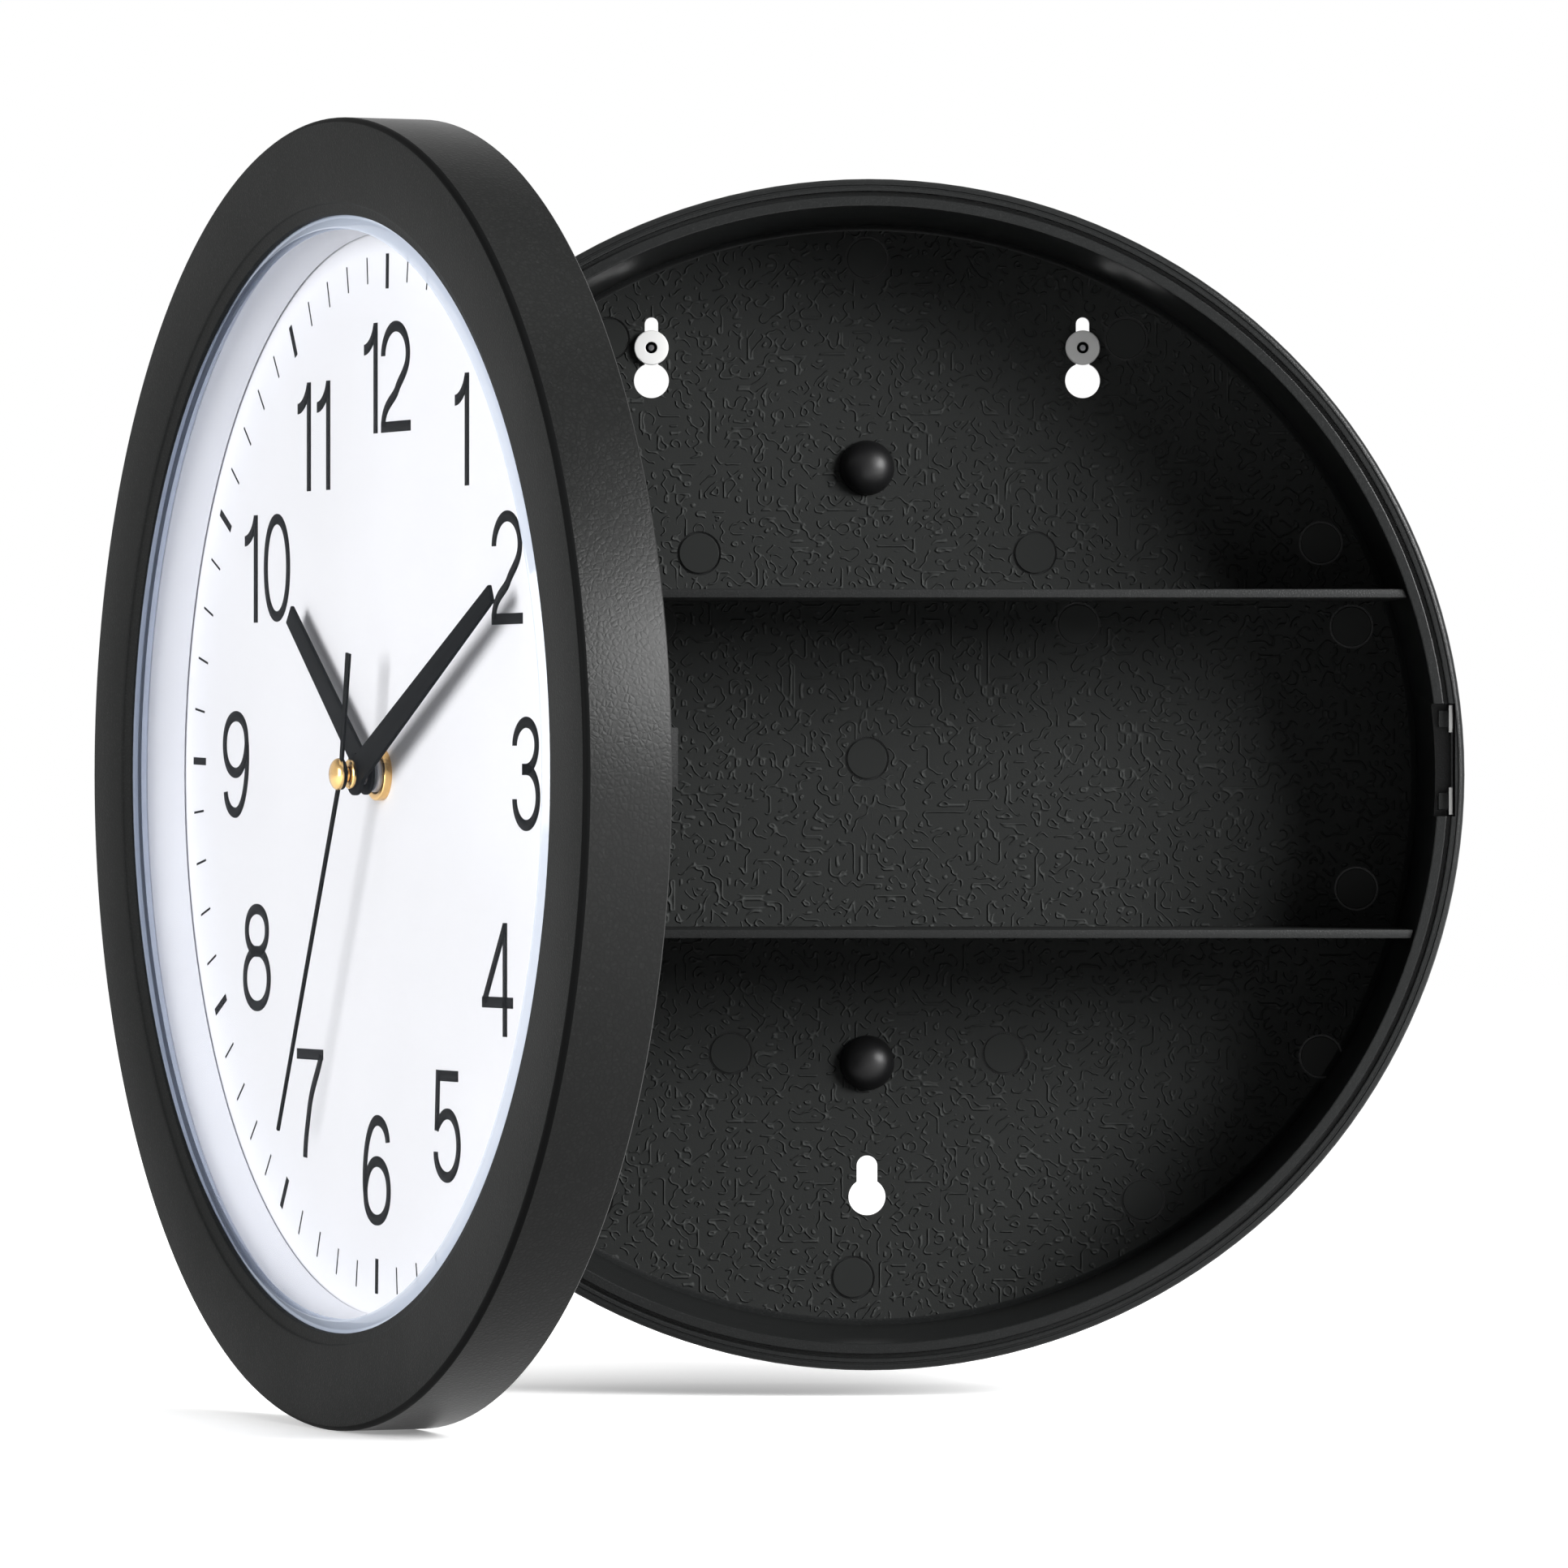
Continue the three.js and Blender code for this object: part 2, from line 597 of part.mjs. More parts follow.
function makeBezel(parent) {
  const ribIn = LENS_R + FIT;
  const ribEnd = LENS_AT + LENS_T;
  let ring = turned([
    [SIGHT_R, depth(BEZEL_T)],
    [SIGHT_R, depth(LIP_DROP + LIP_EDGE)],
    [SIGHT_R + LIP_EDGE / 2, depth(LIP_DROP)],
    [OPENING_R, depth(LIP_EDGE)],
    [OPENING_R + LIP_EDGE, depth(0)],
    ...round(DOOR_R - BEZEL_ROUND, depth(BEZEL_ROUND), BEZEL_ROUND, -90, 0, 3),
    [DOOR_R, depth(DOOR_DEPTH)],
    [SKIRT_IN_R, depth(DOOR_DEPTH)],
    [SKIRT_IN_R, depth(BEZEL_T)],
    [ribIn + LENS_RIB_T, depth(BEZEL_T)],
    [ribIn + LENS_RIB_T, depth(ribEnd)],
    [ribIn, depth(ribEnd)],
    [ribIn, depth(BEZEL_T)],
  ]);
  const bossEnd = COVER_AT - SCREW_PAD_T - FIT;
  const pilotFrom = DOOR_DEPTH - SCREW_HEAD_T - SCREW_L - CUT_OVER;
  for (const [x, z] of screwPlaces()) {
    const boss = barY(BOSS_R, depth(BEZEL_T / 2), depth(bossEnd), SMALL_STEPS, x, z);
    const pilot = barY(SCREW_R + FIT, depth(pilotFrom), depth(bossEnd + CUT_OVER), SMALL_STEPS, x, z);
    ring = cut(join(ring, boss), pilot);
  }
  named('door_bezel', ring, doorBlack, parent);
}

// A shallow dome on a steep flank with a flat edge, its centre LENS_RISE proud of its seat.
function makeLens(parent) {
  const flankR = SIGHT_R - LIP_EDGE;
  const domeR = flankR - LENS_FLANK_W;
  const domeRise = LENS_RISE - LENS_FLANK_H;
  const sphereR = (domeR * domeR + domeRise * domeRise) / (2 * domeRise);
  const face = (offset) => Array.from({ length: DOME_STEPS + 1 }, (_, i) => {
    const r = (domeR * i) / DOME_STEPS;
    const rise = Math.sqrt(sphereR * sphereR - r * r) - (sphereR - LENS_RISE);
    return [r, depth(LENS_AT + offset - rise)];
  });
  const body = turned([
    ...face(0),
    [flankR, depth(LENS_AT)],
    [LENS_R, depth(LENS_AT)],
    [LENS_R, depth(LENS_AT + LENS_T)],
    [flankR, depth(LENS_AT + LENS_T)],
    ...face(LENS_T).reverse(),
  ]);
  named('lens', body, clear, parent);
}

function makeSurround(parent) {
  const flangeR = SURROUND_FRONT_R + SURROUND_FLANGE_W;
  const front = depth(SURROUND_AT);
  const back = depth(SURROUND_AT + SURROUND_DEPTH);
  const body = turned([
    [SURROUND_FRONT_R, front],
    [flangeR, front],
    [flangeR, front + SURROUND_T],
    [SURROUND_FRONT_R + SURROUND_T, front + SURROUND_T],
    [DIAL_SIGHT_R + SURROUND_T, back],
    [DIAL_SIGHT_R, back],
  ]);
  named('dial_surround', body, white, parent);
}

function makeDial(parent) {
  const disc = barY(DIAL_R, depth(DIAL_AT), depth(DIAL_AT + DIAL_T), RING_STEPS);
  const hole = barY(BUSH_R + FIT, depth(DIAL_AT) - CUT_OVER, depth(MOVE_AT) + CUT_OVER, HUB_STEPS);
  named('dial_plate', cut(disc, hole), dialWhite, parent);
}

function coverArm(side) {
  const z0 = side * ARM_Z - ARM_H / 2;
  const z1 = side * ARM_Z + ARM_H / 2;
  const root = depth(COVER_AT + COVER_T / 2);
  const web = block(HINGE_X - ARM_T / 2, HINGE_X + ARM_T / 2, root, HINGE_BACK, z0, z1);
  const eye = barZ(EYE_R, HINGE_X, HINGE_BACK, z0, z1);
  return join(web.intersect(barY(COVER_R, depth(0), HINGE_BACK, RING_STEPS)), eye);
}

function makeBackCover(parent) {
  const window = MOVE_W / 2 + FIT;
  const rear = depth(DOOR_DEPTH);
  const front = depth(COVER_AT);
  let cover = barY(COVER_R, front, rear, RING_STEPS);
  const ribR = DIAL_SIGHT_R;
  cover = join(cover, tubeY(ribR, ribR - COVER_RIB_T, depth(MOVE_AT), front + COVER_T / 2, RING_STEPS));
  cover = join(cover, coverArm(1), coverArm(-1));
  for (const [x, z] of screwPlaces()) {
    const pad = barY(SCREW_PAD_R, front - SCREW_PAD_T, rear - COVER_T / 2, SMALL_STEPS, x, z);
    const seatFloor = rear - SCREW_HEAD_T - 2 * FIT;
    const seat = barY(SCREW_HEAD_R + FIT, seatFloor, rear + CUT_OVER, SMALL_STEPS, x, z);
    const hole = barY(SCREW_R + FIT, front - SCREW_PAD_T - CUT_OVER, rear + CUT_OVER, SMALL_STEPS, x, z);
    cover = cut(join(cover, pad), seat, hole);
  }
  const tongueIn = INNER_R + FLANGE_STEP;
  const tongueEnd = TONGUE_REACH + FLANGE_STEP;
  const z0 = LATCH_Z - TONGUE_H / 2;
  const z1 = LATCH_Z + TONGUE_H / 2;
  const tongue = block(tongueIn, tongueIn + TONGUE_T, rear - COVER_T / 2, tongueEnd, z0, z1);
  cover = join(cover, tongue);
  cover = cut(
    cover,
    block(-window, window, front - CUT_OVER, rear + CUT_OVER, -window, window),
    barZ(PIN_R + RUN, HINGE_X, HINGE_BACK, -2 * ARM_Z, 2 * ARM_Z),
  );
  named('door_back_cover', cover, doorBlack, parent);
}

function makeCoverScrews(parent) {
  const headBack = depth(DOOR_DEPTH) - FIT;
  screwPlaces().forEach(([x, z], i) => {
    const screw = turned([
      [0, headBack],
      [SCREW_HEAD_R, headBack],
      [SCREW_HEAD_R, headBack - SCREW_HEAD_T],
      [SCREW_R, headBack - SCREW_HEAD_T],
      [SCREW_R, headBack - SCREW_HEAD_T - SCREW_L + SCREW_R],
      [0, headBack - SCREW_HEAD_T - SCREW_L],
    ], SMALL_STEPS);
    named(`cover_screw_${i + 1}`, screw.translate([x, 0, z]), steel, parent);
  });
}

// Movement. Heights inside it are measured back from its front face.

const level = (h) => depth(MOVE_AT) + h;
const LEVEL_HOUR = MOVE_WALL + FIT;
const LEVEL_MOTION = LEVEL_HOUR + WHEEL_T + RUN;
const LEVEL_CENTRE = LEVEL_MOTION + WHEEL_T + RUN;
const LEVEL_THIRD = LEVEL_CENTRE + WHEEL_T + RUN;
const LEVEL_SECOND = LEVEL_THIRD + WHEEL_T + RUN;
const LEVEL_STEP = LEVEL_SECOND + WHEEL_T + RUN;
const LEVEL_PLATE = LEVEL_STEP + WHEEL_T + RUN;
const HALF_W = MOVE_W / 2;
const BAY_Z = -HALF_W + MOVE_WALL + FIT + BATTERY_R;
const BAY_TOP_Z = BAY_Z + BATTERY_R + FIT;
const BAY_WALL_Z = BAY_TOP_Z + MOVE_WALL;
const CENTRE_ARBOR = [0, 0];
const MOTION_ARBOR = fromArbor(CENTRE_ARBOR, MOTION_SPAN, MOTION_ANGLE);
const THIRD_ARBOR = fromArbor(CENTRE_ARBOR, THIRD_SPAN, THIRD_ANGLE);
const STEP_ARBOR = fromArbor(CENTRE_ARBOR, STEP_SPAN, STEP_ANGLE);
const ROTOR_ARBOR = fromArbor(STEP_ARBOR, ROTOR_SPAN, ROTOR_ANGLE);
const KNOB_ARBOR = fromArbor(MOTION_ARBOR, MOTION_SPAN, KNOB_ANGLE);

function corners() {
  const side = HALF_W - MOVE_WALL - POST_R;
  return [[-side, side], [side, side], [-side, BAY_WALL_Z + POST_R], [side, BAY_WALL_Z + POST_R]];
}

function makeMovementCase(parent) {
  const inner = HALF_W - MOVE_WALL;
  let tray = block(-HALF_W, HALF_W, level(0), level(MOVE_DEPTH - MOVE_COVER_T - FIT), -HALF_W, HALF_W);
  tray = cut(
    tray,
    block(-inner, inner, level(MOVE_WALL), level(MOVE_DEPTH + CUT_OVER), BAY_WALL_Z, inner),
    block(-inner, inner, level(MOVE_WALL), level(MOVE_DEPTH + CUT_OVER), -inner, BAY_TOP_Z),
    barY(BUSH_R + FIT, level(0) - CUT_OVER, level(MOVE_WALL) + CUT_OVER, HUB_STEPS),
  );
  for (const [x, z] of corners()) {
    tray = join(tray, barY(POST_R, level(MOVE_WALL / 2), level(LEVEL_PLATE - FIT), SMALL_STEPS, x, z));
  }
  const [statorX, statorZ] = statorCentre();
  const studX = statorX - STATOR_W / 2 + POST_R;
  const stud = barY(POST_R, level(MOVE_WALL / 2), level(LEVEL_THIRD - FIT), SMALL_STEPS, studX, statorZ);
  named('movement_case', join(tray, stud), handBlack, parent);
}

function makeMovementCover(parent) {
  const from = level(MOVE_DEPTH - MOVE_COVER_T);
  const lid = block(-HALF_W, HALF_W, from, level(MOVE_DEPTH), BAY_TOP_Z + FIT, HALF_W);
  const [x, z] = KNOB_ARBOR;
  const hole = barY(KNOB_STEM_R + RUN, from - CUT_OVER, level(MOVE_DEPTH) + CUT_OVER, PIN_STEPS, x, z);
  named('movement_cover', cut(lid, hole), handBlack, parent);
}

function makeBearingPlate(parent) {
  const side = HALF_W - MOVE_WALL - FIT;
  const from = level(LEVEL_PLATE);
  const to = level(LEVEL_PLATE + PLATE_T);
  let slab = block(-side, side, from, to, BAY_WALL_Z + FIT, side);
  for (const [x, z] of [CENTRE_ARBOR, THIRD_ARBOR, STEP_ARBOR, ROTOR_ARBOR]) {
    slab = cut(slab, barY(ARBOR_HOLE_R, from - CUT_OVER, to + CUT_OVER, SMALL_STEPS, x, z));
  }
  const [x, z] = KNOB_ARBOR;
  slab = cut(slab, barY(KNOB_STEM_R + RUN, from - CUT_OVER, to + CUT_OVER, SMALL_STEPS, x, z));
  named('bearing_plate', slab, natural, parent);
}

function makeBattery(parent) {
  const half = (BATTERY_L + NUB_L) / 2;
  const cell = turned([
    [0, -half],
    [BATTERY_R, -half],
    [BATTERY_R, half - NUB_L],
    [NUB_R, half - NUB_L],
    [NUB_R, half],
    [0, half],
  ], HUB_STEPS).rotate([0, 0, -90]);
  const y = level(MOVE_WALL + FIT + BATTERY_R);
  named('battery', cell.translate([0, y, BAY_Z]), sleeve, parent);
}

function makeContacts(parent) {
  const inner = HALF_W - MOVE_WALL;
  const back = level(MOVE_WALL + FIT);
  const top = back + 2 * BATTERY_R - CONTACT_SHORT;
  for (const [name, side] of [['contact_positive', 1], ['contact_negative', -1]]) {
    const outer = side * (inner - FIT / 2);
    const face = side * (inner - FIT / 2 - CONTACT_T);
    const leaf = side * (inner - FIT / 2 - CONTACT_T - LEAF_OUT);
    const middle = (back + top) / 2;
    const sheet = block(Math.min(outer, face), Math.max(outer, face), back, top,
      BAY_Z - CONTACT_W / 2, BAY_Z + CONTACT_W / 2);
    const dimple = block(Math.min(outer, leaf), Math.max(outer, leaf),
      middle - LEAF_H / 2, middle + LEAF_H / 2, BAY_Z - LEAF_H / 2, BAY_Z + LEAF_H / 2);
    named(name, join(sheet, dimple), steel, parent);
  }
}

function statorCentre() {
  const [x, z] = ROTOR_ARBOR;
  return [x - STATOR_W / 2 + ROTOR_R + STATOR_SIDE, z + STATOR_H / 2 - ROTOR_R - STATOR_FOOT];
}

function makeDrive(parent) {
  const coilZ = HALF_W - MOVE_WALL - COIL_R - FIT;
  const coilY = level(LEVEL_HOUR + COIL_R);
  const coil = turned([
    [0, -COIL_L / 2],
    [COIL_R, -COIL_L / 2],
    [COIL_R, -COIL_L / 2 + COIL_FLANGE_T],
    [COIL_R - COIL_FLANGE_RISE, -COIL_L / 2 + COIL_FLANGE_T],
    [COIL_R - COIL_FLANGE_RISE, COIL_L / 2 - COIL_FLANGE_T],
    [COIL_R, COIL_L / 2 - COIL_FLANGE_T],
    [COIL_R, COIL_L / 2],
    [0, COIL_L / 2],
  ], PIN_STEPS).rotate([0, 0, 90]);
  named('drive_coil', coil.translate([0, coilY, coilZ]), copper, parent);
  const [x, z] = statorCentre();
  const [front, back] = [level(LEVEL_THIRD), level(LEVEL_THIRD + STATOR_T)];
  const stator = block(x - STATOR_W / 2, x + STATOR_W / 2, front, back, z - STATOR_H / 2, z + STATOR_H / 2);
  const [rotorX, rotorZ] = ROTOR_ARBOR;
  const gap = barY(ROTOR_R + RUN, front - CUT_OVER, back + CUT_OVER, HUB_STEPS, rotorX, rotorZ);
  named('stator_plate', cut(stator, gap), steel, parent);
  const boardX = HALF_W - MOVE_WALL - FIT - BOARD_W;
  const boardZ = BAY_WALL_Z + 2 * POST_R + FIT;
  const board = block(boardX, boardX + BOARD_W, level(LEVEL_HOUR), level(LEVEL_HOUR + BOARD_T),
    boardZ, boardZ + BOARD_H);
  named('circuit_board', board, boardGreen, parent);
  const crystalY = level(LEVEL_HOUR + BOARD_T + FIT + CRYSTAL_R);
  const crystalZ = boardZ + BOARD_H / 2;
  const crystalX = boardX + BOARD_W / 2;
  const crystal = barZ(CRYSTAL_R, crystalX, crystalY, crystalZ, crystalZ + CRYSTAL_L, SMALL_STEPS);
  named('crystal', crystal, steel, parent);
}

function wheel(pitchR, at) {
  return barY(pitchR - TEETH_GAP, level(at), level(at + WHEEL_T), HUB_STEPS);
}

function arbor(radius, from, to, steps = SMALL_STEPS) {
  return barY(radius, from, to, steps);
}

function pivotTop() {
  return level(LEVEL_PLATE + PLATE_T / 2);
}

function makeWheels(parent) {
  const place = (body, [x, z]) => body.translate([x, 0, z]);
  const motion = join(
    wheel(MOTION_PITCH_R, LEVEL_MOTION),
    barY(MOTION_PINION_PITCH_R - TEETH_GAP, level(LEVEL_HOUR), level(LEVEL_MOTION + WHEEL_T / 2)),
  );
  named('motion_wheel', place(motion, MOTION_ARBOR), natural, parent);
  const third = join(
    arbor(ARBOR_R, level(LEVEL_HOUR), pivotTop()),
    barY(THIRD_PINION_PITCH_R - TEETH_GAP, level(LEVEL_CENTRE), level(LEVEL_THIRD + WHEEL_T / 2)),
    wheel(THIRD_PITCH_R, LEVEL_THIRD),
  );
  named('third_wheel', place(third, THIRD_ARBOR), natural, parent);
  const step = join(
    arbor(ARBOR_R, level(LEVEL_HOUR), pivotTop()),
    barY(STEP_PINION_PITCH_R - TEETH_GAP, level(LEVEL_SECOND), level(LEVEL_STEP + WHEEL_T / 2)),
    wheel(STEP_PITCH_R, LEVEL_STEP),
  );
  named('step_wheel', place(step, STEP_ARBOR), natural, parent);
  const rotor = join(
    arbor(ARBOR_R, level(LEVEL_HOUR), pivotTop()),
    barY(ROTOR_R, level(LEVEL_CENTRE), level(LEVEL_SECOND + WHEEL_T), HUB_STEPS),
    barY(ROTOR_PINION_PITCH_R - TEETH_GAP, level(LEVEL_SECOND + WHEEL_T / 2), level(LEVEL_STEP + WHEEL_T)),
  );
  named('rotor', place(rotor, ROTOR_ARBOR), handBlack, parent);
  const stemTop = level(MOVE_DEPTH) + RUN;
  const knob = join(
    barY(CANNON_PITCH_R - TEETH_GAP, level(LEVEL_MOTION), level(LEVEL_MOTION + WHEEL_T), PIN_STEPS),
    barY(KNOB_STEM_R, level(LEVEL_MOTION), stemTop + KNOB_T / 2, PIN_STEPS),
    barY(KNOB_R, stemTop, stemTop + KNOB_T, HUB_STEPS),
  );
  named('setting_knob', place(knob, KNOB_ARBOR), handBlack, parent);
}

// Arbors and hands

const proud = (s) => depth(DIAL_AT) - s;

function handShape(length, rootW, tipW) {
  return new THREE.Shape([
    new THREE.Vector2(-rootW / 2, 0),
    new THREE.Vector2(rootW / 2, 0),
    new THREE.Vector2(tipW / 2, length),
    new THREE.Vector2(-tipW / 2, length),
  ]);
}

function makeArborStack(parent) {
  const bush = tubeY(BUSH_R, BUSH_HOLE_R, proud(BUSH_OUT), level(MOVE_WALL), HUB_STEPS);
  named('centre_bush', bush, white, parent);
  const nutHole = BUSH_R + FIT;
  const nut = tubeY(nutHole + NUT_WALL, nutHole, proud(FIT + NUT_T), proud(FIT), HUB_STEPS);
  named('bush_nut', nut, brass, parent);
}

function pose(parent, name, clockDeg) {
  const group = new THREE.Group();
  group.name = name;
  group.rotation.y = THREE.MathUtils.degToRad(clockDeg);
  parent.add(group);
  return group;
}

function makeHourHand(parent) {
  const tubeEnd = proud(HOUR_HAND_AT + HAND_T);
  const hourTube = tubeY(HOUR_TUBE_R, HOUR_HOLE_R, tubeEnd, level(LEVEL_HOUR + WHEEL_T), HUB_STEPS);
  const tubeHole = barY(HOUR_HOLE_R, level(0), level(MOVE_DEPTH), HUB_STEPS);
  const hourWheel = cut(wheel(HOUR_PITCH_R, LEVEL_HOUR), tubeHole);
  named('hour_wheel', join(hourTube, hourWheel), white, parent);
  const from = proud(HOUR_HAND_AT + HAND_T);
  const to = proud(HOUR_HAND_AT);
  const blade = plate(handShape(HOUR_LENGTH, HOUR_ROOT_W, HOUR_TIP_W), from, to);
  const boss = barY(HOUR_BOSS_R, from, to, HUB_STEPS);
  const hole = barY(HOUR_TUBE_R + FIT, from - CUT_OVER, to + CUT_OVER, HUB_STEPS);
  named('hour_hand', cut(join(blade, boss), hole), handBlack, parent);
}

function makeMinuteHand(parent) {
  const tubeEnd = proud(MINUTE_HAND_AT + HAND_T + FIT + HAND_NUT_T);
  const body = join(
    barY(MINUTE_TUBE_R, tubeEnd, level(LEVEL_CENTRE + WHEEL_T), HUB_STEPS),
    barY(CANNON_PITCH_R - TEETH_GAP, level(LEVEL_MOTION), level(LEVEL_CENTRE + WHEEL_T / 2), HUB_STEPS),
    wheel(CENTRE_PITCH_R, LEVEL_CENTRE),
  );
  const hole = barY(ARBOR_HOLE_R, tubeEnd - CUT_OVER, level(MOVE_DEPTH), PIN_STEPS);
  named('centre_wheel', cut(body, hole), brass, parent);
  const from = proud(MINUTE_HAND_AT + HAND_T);
  const to = proud(MINUTE_HAND_AT);
  const blade = plate(handShape(MINUTE_LENGTH, MINUTE_ROOT_W, MINUTE_TIP_W), from, to);
  const boss = barY(MINUTE_BOSS_R, from, to, HUB_STEPS);
  const seat = barY(MINUTE_TUBE_R + FIT, from - CUT_OVER, to + CUT_OVER, HUB_STEPS);
  named('minute_hand', cut(join(blade, boss), seat), handBlack, parent);
  const nut = tubeY(HAND_NUT_R, MINUTE_TUBE_R + FIT, from - FIT - HAND_NUT_T, from - FIT, HUB_STEPS);
  named('hand_nut', nut, brass, parent);
}

function makeSecondHand(parent) {
  const front = proud(SECOND_HAND_AT + SECOND_T);
  const body = join(
    arbor(ARBOR_R, front, pivotTop(), PIN_STEPS),
    barY(SECOND_PINION_PITCH_R - TEETH_GAP, level(LEVEL_THIRD), level(LEVEL_SECOND + WHEEL_T / 2), PIN_STEPS),
    wheel(SECOND_PITCH_R, LEVEL_SECOND),
  );
  named('second_wheel', body, brass, parent);
  const blade = plate(handShape(SECOND_LENGTH, SECOND_ROOT_W, SECOND_TIP_W), front, front + SECOND_T);
  const straightTail = plate(handShape(SECOND_TAIL, SECOND_ROOT_W, SECOND_TAIL_W), front, front + SECOND_T);
  const tail = straightTail.rotate([0, 180 - SECOND_TAIL_BEND, 0]);
  const boss = barY(SECOND_BOSS_R, front, front + 3 * SECOND_T, HUB_STEPS);
  const hole = barY(ARBOR_R + FIT, front - CUT_OVER, front + 4 * SECOND_T, PIN_STEPS);
  named('second_hand', cut(join(blade, tail, boss), hole), handBlack, parent);
  const capSeat = front - FIT;
  named('second_cap', turned([...dome(CAP_R, CAP_T, capSeat), [0, capSeat]], HUB_STEPS), brass, parent);
}

// Assembly

const clock = new THREE.Group();
const frame = new THREE.Group();
frame.position.y = -CASE_DEPTH; // the origin is the middle of the flat back
clock.add(frame);
makeCase(frame);
makeShelves(frame);
makeBumpers(frame);
makeHangers(frame);
makeHingePins(frame);
makeKeeper(frame);

const hinge = new THREE.Group();
hinge.position.set(HINGE_X, HINGE_BACK, 0);
hinge.rotation.z = -THREE.MathUtils.degToRad(OPEN_ANGLE);
frame.add(hinge);

const door = new THREE.Group();
door.position.set(-HINGE_X, -HINGE_BACK, 0);
hinge.add(door);
makeBezel(door);
makeLens(door);
makeSurround(door);
makeDial(door);
makeBackCover(door);
makeCoverScrews(door);
makeMovementCase(door);
makeMovementCover(door);
makeBearingPlate(door);
makeBattery(door);
makeContacts(door);
makeDrive(door);
makeWheels(door);
makeArborStack(door);

makeHourHand(pose(door, 'hour_turn', HOUR_ANGLE));
makeMinuteHand(pose(door, 'minute_turn', MINUTE_ANGLE));
makeSecondHand(pose(door, 'second_turn', SECOND_ANGLE));

export default clock;
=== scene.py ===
"""A wall clock whose face is the door of a round box with two shelves."""

import json
from math import cos, hypot, pi, radians, sin, sqrt

import bmesh
import bpy
from mathutils import Matrix, Vector


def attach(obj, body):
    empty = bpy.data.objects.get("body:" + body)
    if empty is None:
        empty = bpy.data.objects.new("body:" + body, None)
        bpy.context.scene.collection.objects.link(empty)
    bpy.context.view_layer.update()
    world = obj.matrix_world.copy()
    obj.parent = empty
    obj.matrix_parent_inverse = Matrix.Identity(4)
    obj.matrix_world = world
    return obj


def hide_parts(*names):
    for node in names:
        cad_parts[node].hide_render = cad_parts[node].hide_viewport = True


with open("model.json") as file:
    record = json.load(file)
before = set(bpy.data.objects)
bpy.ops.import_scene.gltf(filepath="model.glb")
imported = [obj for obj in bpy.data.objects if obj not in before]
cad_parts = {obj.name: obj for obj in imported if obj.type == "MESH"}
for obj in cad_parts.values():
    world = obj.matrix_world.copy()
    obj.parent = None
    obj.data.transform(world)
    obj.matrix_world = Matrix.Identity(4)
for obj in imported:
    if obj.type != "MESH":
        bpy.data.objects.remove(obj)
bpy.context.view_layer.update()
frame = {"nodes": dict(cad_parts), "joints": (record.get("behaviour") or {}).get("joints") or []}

# Sizes are in millimetres. Every piece is modelled facing the room, x to the right, y to twelve,
# z toward the room, with z = 0 on the front plane of the case and the door shut.
MM = 0.001
RING_STEPS = 160
HUB_STEPS = 48

# Case
CASE_R = 121.5
CASE_DEPTH = 50
PANEL_Z = -47.5
WALL_OUT_R = 118.4
WALL_OUT_BACK_R = 116.93
WALL_IN_R = 116
WALL_IN_BACK_R = 114.6
FLANGE_Z = -7
LIP_Z = -0.4
RING_Z = -1.2
SHELF_T = 1.8
SHELF_UPPER_Y = 37
SHELF_LOWER_Y = -32.5
SHELF_FRONT_Z = -2.4
SHELF_FIT = 0.3
BUMPER_R = 5.7
BUMPER_H = 4.6
BUMPER_UPPER_Y = 64
BUMPER_LOWER_Y = -60

# Keyholes and the buttons that sit in the upper two
HANGER_X = 44.95
HANGER_Y = 89
HANGER_R = 3.6
HANGER_T = 1.6
UPPER_HOLE_R = 3.65
UPPER_HOLE_Y = HANGER_Y - 6.8
UPPER_SLOT_W = 2.8
UPPER_SLOT_RISE = 11.8
LOWER_HOLE_R = 3.85
LOWER_HOLE_Y = -88
LOWER_SLOT_W = 4.3
LOWER_SLOT_RISE = 6.5

# Door
FRONT_Z = 18.4
DOOR_R = 127
OPENING_R = 110.4
SIGHT_R = 108.2
BEZEL_T = 2.2
DOOR_DEPTH = 17.6
SKIRT_T = 2.4
EDGE_ROUND = 1.2
LENS_AT = 2.5
LENS_T = 1.8
LENS_R = 111.8
LENS_RISE = 4.6
FLANK_R = 107.6
FLANK_W = 2
FLANK_H = 2
SURROUND_AT = 4.6
SURROUND_BACK = 11.8
SURROUND_IN_R = 105.2
DIAL_AT = 12.1
DIAL_T = 1.4
DIAL_R = 109
COVER_AT = 15.5
COVER_R = 124.3
SCREW_CIRCLE_R = 120
SCREW_COUNT = 6

# Movement
MOVE_AT = 13.8
MOVE_DEPTH = 16.5
MOVE_HALF = 28
MOVE_WALL = 1.4
BATTERY_L = 49.2
BATTERY_NUB = 1.3
BATTERY_R = 7.1
BATTERY_Y = -MOVE_HALF + MOVE_WALL + 0.3 + BATTERY_R
WHEEL_STEP = 6.8
KNOB_WAY = 225

# Hinge and latch
hinge_joint = next(j for j in frame["joints"] if j["name"] == "door_hinge")
HINGE = Vector(hinge_joint["pos_m"])
OPEN = radians(hinge_joint["range_deg"][1])
HINGE_X = HINGE.x / MM
HINGE_Z = -(HINGE.y / MM + CASE_DEPTH)
EYE_R = 3.4
PIN_R = 1.5
ARM_Y = 23
ARM_H = 8.6
HINGE_RUN = 0.5
LUG_H = 4.5
LATCH_Y = 3
POCKET_H = 23
POCKET_DEPTH = 5.4
CLIP_AT_R = WALL_IN_R + 3.2
CLIP_END_H = 5.6
TONGUE_R = WALL_IN_R + 0.4
TONGUE_H = 11
TONGUE_T = 0.9

